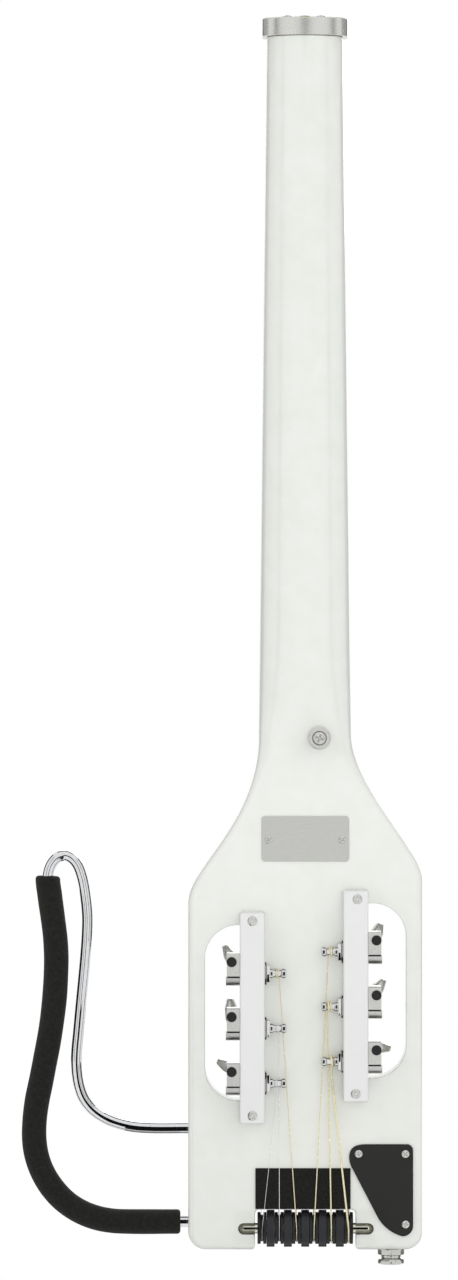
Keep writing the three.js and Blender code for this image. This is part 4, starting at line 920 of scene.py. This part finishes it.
def bushing_pair(name, side, height):
    """The threaded sleeve with its round washer, and the hex nut that is cut away inside."""
    way, face, nut_flats = inward[side], rail_face[side], 9.6
    washer = turned_ring(name, [
        (-11 * way, 3.1), (-11 * way, 4.3), (0, 4.3), (0, 6.7), (way, 6.5), (way, 3.1),
    ], "x", (face, post_back, height), 48)
    corners = hexagon(nut_flats / math.sqrt(3), (post_back, height))
    nut = prism(f"{name}_nut", corners, face + way, face + 3 * way)
    reach = (face - 2 * way, face + 8 * way)
    carved(nut, [rod_cutter("nut_bore", "x", (0, post_back, height), 3.1, *reach)])
    return washer, nut


worm_cap = bevelled([(-8.5, 0), (-8.5, 2.5), (-8.35, 2.85), (-7.8, 2.85), (-7.8, 0)], 0.12)
for side, heights in posts_at.items():
    for k, height in enumerate(heights, 1):
        label, place = f"{side}_tuner_{k}", (side, height)
        middle = at_post((-axle_to_post, 0, worm_rise), *place)
        room = at_post([(-21, 0, 0), (-12, 0, 0)], *place)[:, 0]
        for part, (outline, outer, inner) in housing_parts.items():
            ends = at_post([(outer, 0, 0), (inner, 0, 0)], *place)[:, 0]
            casting = prism(
                f"{label}_housing_{part}", np.add(outline, (post_back, height)), *ends,
            )
            cutters = [rod_cutter("wheel_room", "x", (0, post_back, height), wheel_room, *room)]
            # The strip in the step is painted shade: black plastic standing for the shadow in that
            # gap.
            if part == "joint":
                fitted(carved(casting, cutters), black_acetal, "root", "black_plastic")
                continue
            room_low = (min(room), post_back - worm_room, height)
            room_high = (max(room), post_back + worm_room, height + worm_rise + worm_room_top)
            cutters.append(slab_cutter("worm_room", room_low, room_high))
            cutters.append(rod_cutter("worm_bore", "y", middle, worm_bore, -10, 10))
            softened(carved(casting, cutters), 0.32)
            fitted(casting, satin_nickel, "root", "satin_nickel", f"{label}_housing")
        button = wing_button(f"{label}_wing_button", middle, wing_angles[side][k - 1])
        fitted(
            crisp(button, 60), button_nickel, f"{label}_button", "satin_nickel", f"{label}_button",
        )
        for worm in worm_shaft(f"{label}_worm", side, middle):
            fitted(crisp(worm), worm_steel, f"{label}_button", "bright_steel")
        plug = turned(f"{label}_worm_cap", worm_cap, "y", middle, 40)
        fitted(crisp(plug), black_acetal, f"{label}_button", "black_plastic")
        post = crisp(tuner_post(f"{label}_string_post", *place))
        fitted(post, bright_chrome, f"{label}_post", "chrome", f"{label}_post")
        wheel = crisp(worm_wheel(f"{label}_worm_wheel", *place))
        fitted(wheel, worm_steel, f"{label}_post", "brass")
        washer, nut = bushing_pair(f"{label}_bushing_washer", *place)
        fitted(crisp(washer), bushing_chrome, "root", "chrome", f"{label}_bushing")
        fitted(softened(nut, 0.3), bright_chrome, "root", "chrome")

# The strings. Plain steel for the two thinnest, and bronze wound round a steel core for the
# other four. Each runs from its ball end in the head cap over the nut and saddle, down the
# butt ramp, round its roller and up the back to its post, where it is wound on.

string_sizes = (0.26, 0.36, 0.56, 0.66, 0.91, 1.17)
string_posts = (("treble", 2), ("treble", 1), ("treble", 0), ("bass", 0), ("bass", 1), ("bass", 2))
taken_up = (7.6, 8.2, 8.1, 8.1, 8.9, 7.2)
wound_turns, winding_gap = (3, 3, 2.25, 2.25, 1.75, 1.25), 0.45
nut_pitch, saddle_pitch = 7.2, 10.4
nut_top, nut_thick, saddle_top, groove_radius, waist_radius = 26.9, 4.8, 29.2, 7.6, 2.4
ball_y, ball_z = 24.9, 642.8


def string_path(k):
    """Straight runs between the nut, saddle and roller, an arc round the roller between its two
    tangents, and a helix round the post that steps by a string and a gap each turn."""
    (side, post_k), half = string_posts[k], string_sizes[k] / 2
    pitches = (nut_pitch, saddle_pitch, roller_pitch)
    nut_x, saddle_x, roll_x = ((k - 2.5) * pitch for pitch in pitches)
    nut_y, saddle_y = nut_top + half, saddle_top + half
    wrap, winding = groove_radius + half, waist_radius + half
    post = at_post((taken_up[k], 0, 0), side, posts_at[side][post_k])
    deep, up = post[1] - axle_y, post[2] - axle_z
    leave = math.atan2(up, deep) + math.acos((wrap + winding) / math.hypot(deep, up)) - 2 * math.pi
    deep, up = saddle_y - axle_y, -axle_z
    arrive = math.atan2(up, deep) - math.acos(wrap / math.hypot(deep, up))
    turns = np.linspace(arrive, leave, 40)
    arc = np.column_stack([
        np.full(40, roll_x), axle_y + wrap * np.cos(turns), axle_z + wrap * np.sin(turns),
    ])
    turned_by = np.linspace(0, wound_turns[k], int(wound_turns[k] * 28))
    angle = leave + np.pi + 2 * np.pi * turned_by
    coil = np.column_stack([
        post[0] - inward[side] * (string_sizes[k] + winding_gap) * turned_by,
        post[1] + winding * np.cos(angle), post[2] + winding * np.sin(angle),
    ])
    start = np.array([
        (nut_x, ball_y, ball_z), (nut_x, ball_y, ball_z - 1.4),
        (nut_x, nut_y, neck_length + nut_thick), (nut_x, nut_y, neck_length + 0.05),
        (saddle_x, saddle_y, 1.2), (saddle_x, saddle_y, 0),
    ])
    return np.vstack([start, arc, coil])


def wrapped(piece, columns, length):
    """A UV map on a string's side: the share of the way round, and millimetres along it."""
    layer = piece.data.uv_layers.new(name="along")
    corners = np.zeros(len(piece.data.loops), int)
    piece.data.loops.foreach_get("vertex_index", corners)
    row, column = corners // columns, corners % columns
    uv = np.column_stack([column / columns, length[np.minimum(row, len(length) - 1)]])
    layer.data.foreach_set("uv", uv.ravel())


plain_string = finish(
    "plain_string_steel", (236, 237, 236), (246, 247, 246), 900, (0.18, 0.3), metal=0.3,
)

# Bronze wound on steel: a fine wave along the string dents it as the winding's grooves do.
wound_string = finish(
    "wound_string_bronze", (247, 236, 192), (253, 245, 207), 900, (0.18, 0.3), metal=0.3,
)
wound_tree = wound_string.node_tree
along_string = node(wound_tree, "ShaderNodeUVMap", {"uv_map": "along"})
grooves = node(wound_tree, "ShaderNodeTexWave", {"bands_direction": "Y"}, Scale=1.4)
wire(wound_tree, (along_string, "UV", grooves, "Vector"))
dented(wound_tree, grooves, "Fac", 0.05)

ball_profile = bevelled([
    (0, 0), (0, 1.9), (0.4, 1.75), (1.6, 1.75), (2.0, 1.9), (2.0, 0),
], 0.1)
for k in range(6):
    path = string_path(k)
    string = solid_skin(f"guitar_string_{k + 1}", tube_rings(path, string_sizes[k] / 2, 10))
    finish_here, slot_here = plain_string, "bright_steel"
    if k >= 2:
        finish_here, slot_here = wound_string, "bronze"
        wrapped(string, 10, run_along(path))
    fitted(string, finish_here, "root", slot_here, f"string_{k + 1}")
    ball_end = turned(f"string_ball_{k + 1}", ball_profile, "z", path[0], 28)
    fitted(crisp(ball_end), finish_here, "root", "brass")

# The damping pad. A strip of dense black felt, glued to the back above the rollers, under the
# strings, so that they don't ring there. Its cut edges are square and a little woolly.

pad_left, pad_right, pad_top, pad_low, pad_thick = -28.4, 25.7, -10.8, notch_top + 0.5, 1.5


def felt_sheet():
    """The back and the face of a slab on one fine grid. The face swells and dips by a slow wave
    and a fine one, no more than a tenth of a millimetre together, and falls away near its rim
    by the square of how near it is."""
    rim_wide, rim_high, rim_round = 54.1, 23.35, 0.8
    s, t = np.meshgrid(np.linspace(0, 1, 91), np.linspace(0, 1, 41), indexing="ij")
    x = pad_left + (pad_right - pad_left) * s
    z = pad_low + (pad_top - pad_low) * t
    edge = np.minimum(np.minimum(s, 1 - s) * rim_wide, np.minimum(t, 1 - t) * rim_high)
    wave = 0.05 * np.sin(x / 3.1) * np.sin(z / 2.3) + 0.04 * np.sin(x / 0.9 + z) * np.sin(z / 0.7)
    y = -pad_thick + 0.1 + wave + 0.35 * (1 - np.clip(edge / rim_round, 0, 1)) ** 2
    return np.stack([x, 0 * x, z], -1), np.stack([x, y, z], -1)


def two_sided(name, back, front):
    """Closes two grids of points of one size into a solid, with walls round their rims."""
    rows, columns = back.shape[:2]
    points = np.concatenate([back.reshape(-1, 3), front.reshape(-1, 3)])
    i, j = np.meshgrid(np.arange(rows - 1), np.arange(columns - 1), indexing="ij")
    a = (i * columns + j).ravel()
    quads = np.stack([a, a + 1, a + columns + 1, a + columns], -1)
    other = quads[:, ::-1] + rows * columns
    rim = np.concatenate([
        np.arange(columns), np.arange(1, rows) * columns + columns - 1,
        (rows - 1) * columns + np.arange(columns - 2, -1, -1), np.arange(rows - 2, 0, -1) * columns,
    ])
    onward = np.roll(rim, -1)
    walls = np.stack([rim, rim + rows * columns, onward + rows * columns, onward], -1)
    mesh = bpy.data.meshes.new(name)
    mesh.from_pydata((points * MM).tolist(), [], np.concatenate([quads, other, walls]).tolist())
    return tidy_piece(name, mesh)


felt = crisp(two_sided("damping_felt", *felt_sheet()), 50)
black_felt = finish(
    "black_felt", (14, 14, 13), (40, 40, 38), 1300, (0.95, 1.0), relief=0.08,
    Sheen_Weight=0.05, Sheen_Roughness=0.6, Specular_IOR_Level=0.15,
)
fitted(felt, black_felt, "root", "felt", "damping_pad")

# The cavity cover. A flat plate of satin black plastic with a soft edge closes the room behind
# the output socket. Three small pan-head screws hold it.

def cover_outline(grow):
    """Straight sides, round corners and one long slant, from the toe round to the left, each
    point moved outwards by the growth along its own normal."""
    def bend(a, b, c):
        t = np.linspace(0, 1, 10)[:, None]
        a, b, c = map(np.array, (a, b, c))
        return (1 - t) ** 2 * a + 2 * t * (1 - t) * b + t * t * c

    def corner(x, z, radius, start):
        t = start + np.linspace(0, np.pi / 2, 10)
        return np.column_stack([x + radius * np.cos(t), z + radius * np.sin(t)])

    ring = np.concatenate([
        corner(55.3, -43.5, 6, -np.pi / 2), corner(57.8, -0.65, 3.5, 0),
        bend((34.0, 2.85), (24.9, 2.85), (24.9, -4.6)),
        bend((24.9, -4.6), (24.9, -7.8), (26.8, -11.0))[1:],
        bend((40.4, -37.3), (45.0, -46.5), (55.0, -49.5)),
    ])
    along = np.roll(ring, -1, 0) - np.roll(ring, 1, 0)
    out = np.column_stack([along[:, 1], -along[:, 0]])
    return ring + grow * out / np.linalg.norm(out, axis=1)[:, None]


satin_black = finish(
    "satin_black_plastic", (25, 25, 24), (33, 33, 31), 1800, (0.46, 0.58), relief=0.012,
    Specular_IOR_Level=0.3,
)
cover = rolled_plate("cavity_cover_plate", cover_outline, rolled_levels(-1.6, 0, 0.55, 0.05))
fitted(crisp(cover), satin_black, "root", "black_plastic", "cavity_cover")
for k, (x, z) in enumerate(((30.3, -2.5), (56.9, -2.6), (57.0, -42.6)), 1):
    screw_head(f"cover_screw_{k}", (x, -1.62, z), 2.3, 1.1, turn=0.3 + k)

# The end pin. A polished nickel strap button at the butt, whose bore is the output socket.
# Its barrel is screwed into the body from below.

polished_nickel = finish(
    "polished_nickel", (190, 190, 184), (208, 208, 202), 700, (0.07, 0.15), metal=1.0,
)
socket = turned("endpin_socket", bevelled([
    (30, 0), (30, 5.0), (0, 5.0), (0, 7.5), (-3.4, 7.5), (-3.9, 5.6), (-5.2, 5.4), (-5.9, 7.0),
    (-6.6, 7.4), (-8.2, 7.4), (-8.9, 6.9), (-8.9, 3.3), (17.1, 3.3), (17.1, 0),
], 0.3), "z", jack_at, 64)
fitted(crisp(socket), polished_nickel, "root", "satin_nickel", "endpin_jack")

# The back plate. A bare sheet of brushed aluminium, cut to a rectangle with round corners, lies
# on the heel and is held by two small pan-head screws.

plate_outline = grown_rectangle(-24.9, 163.65, 24.9, 189.55, (2,) * 4)
brushed_aluminium = finish(
    "brushed_aluminium", (194, 195, 191), (209, 210, 206), 260, (0.3, 0.42),
    relief=0.004, metal=1.0, stretch=(1, 30, 30),
)
plate = rolled_plate("heel_plate", plate_outline, rolled_levels(-0.8, 0, 0.25, 0.02, 4))
fitted(crisp(plate), brushed_aluminium, "root", "satin_aluminium", "back_plate")
for k, x in enumerate((-21.0, 21.1), 1):
    screw_head(f"plate_screw_{k}", (x, -0.82, 176.1), 2.3, 1.0, turn=0.2 + k)

# The strap button. A turned and nickel-plated steel mushroom stands on the heel, held by one
# long dome-head screw that runs down its bore into the neck.

strap = turned_ring("strap_button_turned", [
    (0, 2.2), (0, 5.4), (-1.0, 5.4), (-2.2, 4.0), (-7.8, 4.0), (-8.9, 6.5), (-9.4, 6.5),
    (-10, 5.6), (-10, 4.05), (-9.0, 4.05), (-9.0, 2.2),
], "y", strap_at)
fitted(crisp(strap, 40), satin_nickel, "root", "satin_nickel", "strap_button")
shank = bevelled([(-9.3, 0), (-9.3, 1.9), (10.8, 1.9), (12.7, 0)], 0.1)
screw = turned("strap_screw_shank", shank, "y", strap_at, 32)
fitted(crisp(screw), screw_steel, "root", "bright_steel", "strap_button_screw")
screw_head("strap_screw_head", np.add(strap_at, (0, -9.3, 0)), 3.7, 1.95, turn=0.35)

# The end cap. A thick D-shaped plate of bead-blasted aluminium closes the head. Six slots in
# its front edge and a counterbore over each hold the ball ends, two pan-head screws hold it,
# and the truss rod's nut shows in its middle.

cap_low, cap_high, cap_half, bow_deep = 634.4, 644.7, 24.4, 11
truss_y = 14.0


def cap_outline(grow):
    """The D shape in the plane of X and Y: half an ellipse, 24.4 by 11, bows out at the back,
    and round corners of 3 close the front."""
    turns = np.linspace(np.pi, 2 * np.pi, 49)
    across, deep = (cap_half + grow) * np.cos(turns), (bow_deep + grow) * np.sin(turns)
    corners = arc_rectangle(-cap_half, 3, cap_half, 29, (3,) * 4, grow)
    return np.vstack([np.column_stack([across, truss_y + deep]), corners[24:]])


cap_levels = rolled_levels(cap_low, cap_high, 0.3, 0.7)
end_cap = rolled_plate("end_cap_plate", cap_outline, cap_levels, "z")
nut_across = [(k - 2.5) * nut_pitch for k in range(6)]
carved(end_cap, [
    rod_cutter("truss_nut_room", "z", (0, truss_y, 0), 3.8, cap_high, cap_low - 2, 0.4),
    *[slab_cutter("string_slot", (x - 1.1, 23.2, 633), (x + 1.1, 31, 646)) for x in nut_across],
    *[
        rod_cutter("ball_seat", "z", (x, ball_y, 0), 2.3, cap_high, cap_high - 2.2)
        for x in nut_across
    ],
])
blasted_aluminium = finish(
    "blasted_aluminium", (212, 212, 208), (222, 222, 218), 2200, (0.26, 0.3),
    relief=0.001, metal=1.0,
)
fitted(crisp(end_cap), blasted_aluminium, "root", "satin_aluminium", "end_cap")
for k, x in enumerate((-10.0, 9.1), 1):
    spot = (x, truss_y - 3.5, cap_high + 0.02)
    screw_head(f"cap_screw_{k}", spot, 3.25, 1.35, turn=0.4 * k, axis="z")

# The truss rod. A steel rod in a slot under the fingerboard, anchored at the heel, with a hex
# brass nut at the head that pulls the neck straight.

truss_low, truss_high = 214.3, 646.1
brass = finish("brass", (170, 138, 78), (196, 164, 98), 900, (0.24, 0.36), metal=1.0)
truss = turned("truss_rod_steel", bevelled([
    (truss_low, 0), (truss_low, 3.0), (truss_high, 3.0), (truss_high, 0),
], 0.3), "z", (0, truss_y, 0), 24)
fitted(crisp(truss), worm_steel, "root", "brass", "truss_rod")
nut_hex, key_hex = (hexagon(radius, (0, truss_y), math.radians(30)) for radius in (3.5, 1.9))
truss_nut = softened(prism("truss_rod_nut", nut_hex, 634.5, truss_high, "z"), 0.3)
carved(truss_nut, [prism("key_cutter", key_hex, 643, 648, "z")])
fitted(truss_nut, brass, "root", "brass")

# The fingerboard. Dark rosewood, crowned to a radius of 305 mm, glued to the neck, with
# twenty-two nickel frets pressed into it, pearl dots on its face and small dots on its edge.

board_thick, crown, fret_count = 6.0, 305.0, 22
fret_z = [neck_length * 2 ** (-n / 12) for n in range(fret_count + 1)]
board_low = fret_z[fret_count] - 6.5


def crown_height(x):
    """How far the crowned face falls away from its middle: the radius less the circle."""
    return crown - np.sqrt(crown**2 - x**2)


def board_section(z, inset=0.0, sink=0.0, across=25):
    """One section of the board: its crowned face from side to side, then straight down."""
    half = neck_half(z) - inset
    x = np.linspace(half, -half, across)
    y = body_deep + board_thick - sink - crown_height(x)
    top = np.column_stack([x, y, np.full(across, z)])
    foot = [(-half, body_deep, z), (half, body_deep, z)]
    return np.vstack([top, foot])


board = solid_skin("fingerboard_wood", [
    board_section(z, inset, sink) for z, inset, sink in (
        (board_low, 0.5, 0.5), (board_low + 0.25, 0.15, 0.12), (board_low + 0.7, 0, 0),
        (neck_length - 0.1, 0, 0),
    )
])
softened(board, 0.35, degrees=50)


def wood_finish(name, dark, light, gloss, stretch=(9, 9, 0.35)):
    """Open-grained wood: long stretched noise along the neck gives the streaks, and a finer
    one the pores, which darken the colour and dent the face."""
    material = finish(name, dark, light, 60, gloss, stretch=stretch)
    tree = material.node_tree
    turn = node(tree, "ShaderNodeMapping", Scale=(26, 26, 1.2))
    pores = node(tree, "ShaderNodeTexNoise", Scale=150, Detail=3)
    only_deep = node(tree, "ShaderNodeMapRange", From_Min=0.52, From_Max=0.72)
    pore_colour = (*(0.35 * np.array(linear(*dark)[:3])).tolist(), 1)
    darker = node(tree, "ShaderNodeMix", {"data_type": "RGBA"}, B=pore_colour)
    wire(
        tree, (tree.nodes["Texture Coordinate"], "Object", turn, "Vector"),
        (turn, "Vector", pores, "Vector"), (pores, "Fac", only_deep, "Value"),
        (only_deep, "Result", darker, "Factor"), (tree.nodes["Group"], "Colour", darker, "A"),
        (darker, "Result", tree.nodes["Principled BSDF"], "Base Color"),
    )
    dented(tree, only_deep, "Result", 0.03).invert = True
    return material


rosewood = wood_finish("rosewood", (58, 36, 26), (92, 60, 42), (0.42, 0.55))
fitted(board, rosewood, "root", "fingerboard_wood", "fingerboard")
fret_nickel = finish(
    "fret_nickel", (186, 184, 178), (206, 204, 198), 800, (0.12, 0.22), metal=1.0,
)
fret_half, fret_rise, fret_end, tang_half, tang_deep = 1.14, 1.15, 0.8, 0.3, 0.6


def fret_rings(z):
    """Half an ellipse over the crowned face and a tang below it, at each place across. Near an
    end the ellipse is lower, by the square root of the share of the last 0.7."""
    half, bows = neck_half(z) - fret_end, np.linspace(0, np.pi, 9)
    x = np.linspace(-half, half, 21)[:, None]
    face_y = body_deep + board_thick - crown_height(x)
    rise = fret_rise * np.clip((half - abs(x)) / 0.7, 0.25, 1) ** 0.5
    tang_y = face_y - tang_deep
    y = np.hstack([face_y - 0.05 + rise * np.sin(bows), tang_y, tang_y])
    up = np.concatenate([z + fret_half * np.cos(bows), [z - tang_half, z + tang_half]])
    return np.stack([*np.broadcast_arrays(x, y, up)], -1)


for n in range(1, fret_count + 1):
    fret = crisp(solid_skin(f"fret_{n}", fret_rings(fret_z[n])), 50)
    fitted(fret, fret_nickel, "root", "bright_steel")

# Position dots. Mother-of-pearl discs lie flush in the board's face, and small white ones in
# the edge of the board that the player looks down on.

pearl = finish(
    "pearl", (206, 208, 204), (236, 232, 226), 420, (0.12, 0.25), relief=0.002,
    Coat_Weight=0.6, Coat_Roughness=0.05,
)
marks = [(n, 0) for n in (3, 5, 7, 9, 15, 17, 19, 21)] + [(12, -9), (12, 9)]
for k, (n, x) in enumerate(marks, 1):
    z = (fret_z[n] + fret_z[n - 1]) / 2
    face_y = body_deep + board_thick - float(crown_height(x))
    dot = turned(f"face_dot_{k}", [
        (-0.8, 0), (-0.8, 3.0), (0.03, 3.0), (0.05, 2.9), (0.05, 0),
    ], "y", (x, face_y, z), 32)
    fitted(crisp(dot), pearl, "root", "bone")
    edge_at = (-neck_half(z) - 0.03, body_deep + 3.4, z + x * 0.25)
    edge_dot = turned(f"edge_dot_{k}", [(0, 0), (0, 1.0), (0.6, 1.0), (0.6, 0)], "x", edge_at, 20)
    fitted(crisp(edge_dot), pearl, "root", "bone")

# The nut, bridge, saddle and pickup. The nut and saddle are bone, the bridge is rosewood glued
# to the front, and a thin piezo strip lies under the saddle with its lead through the body.

bone = finish(
    "bone", (226, 216, 192), (240, 233, 214), 340, (0.26, 0.4), relief=0.004,
    Subsurface_Weight=0.08,
)
nut_outline = arc_rectangle(
    body_deep, neck_length, 27.4, neck_length + nut_thick, (0.1, 1.6, 0.6, 0.1), 0, 6,
)
nut_piece = prism("string_nut", nut_outline, -21.6, 21.6)
nut_gaps = [(x, size / 2 + 0.2) for x, size in zip(nut_across, string_sizes)]
carved(nut_piece, [
    slab_cutter("nut_slot", (x - half, 26.75, 620), (x + half, 29, 640)) for x, half in nut_gaps
])
fitted(softened(nut_piece, 0.15), bone, "root", "bone", "nut")

bridge_outline = grown_rectangle(-36, -9, 36, 6, (3,) * 4)
bridge_levels = rolled_levels(body_deep, body_deep + 6.4, 0.02, 2.2)
bridge = rolled_plate("bridge_wood", bridge_outline, bridge_levels)
carved(bridge, [
    slab_cutter("saddle_seat", (-33.3, 21, -1.75), (33.3, 27, 1.75)),
    rod_cutter("bridge_lead_way", "y", lead_at, 1.4, 24, 17),
])
bridge_wood = wood_finish(
    "bridge_rosewood", (52, 33, 24), (84, 56, 40), (0.4, 0.52), stretch=(0.35, 9, 9),
)
fitted(crisp(bridge), bridge_wood, "root", "fingerboard_wood", "bridge")
saddle = prism("saddle_bone", [
    (22.5, -1.45), (27.9, -1.45), (28.6, -0.9), (28.9, 0), (28.6, 0.9), (27.9, 1.45), (22.5, 1.45),
], -33, 33)
fitted(softened(saddle, 0.25), bone, "root", "bone", "saddle")
strip = slab_cutter("pickup_strip", (-32.7, 21.02, -1.1), (32.7, 22.2, 1.1))
fitted(softened(strip, 0.2), brass, "root", "brass", "piezo_pickup")
lead_rod = turned("pickup_lead", [(3, 0), (3, 0.9), (21.3, 0.9), (21.3, 0)], "y", lead_at, 20)
fitted(crisp(lead_rod), black_acetal, "root", "brass")
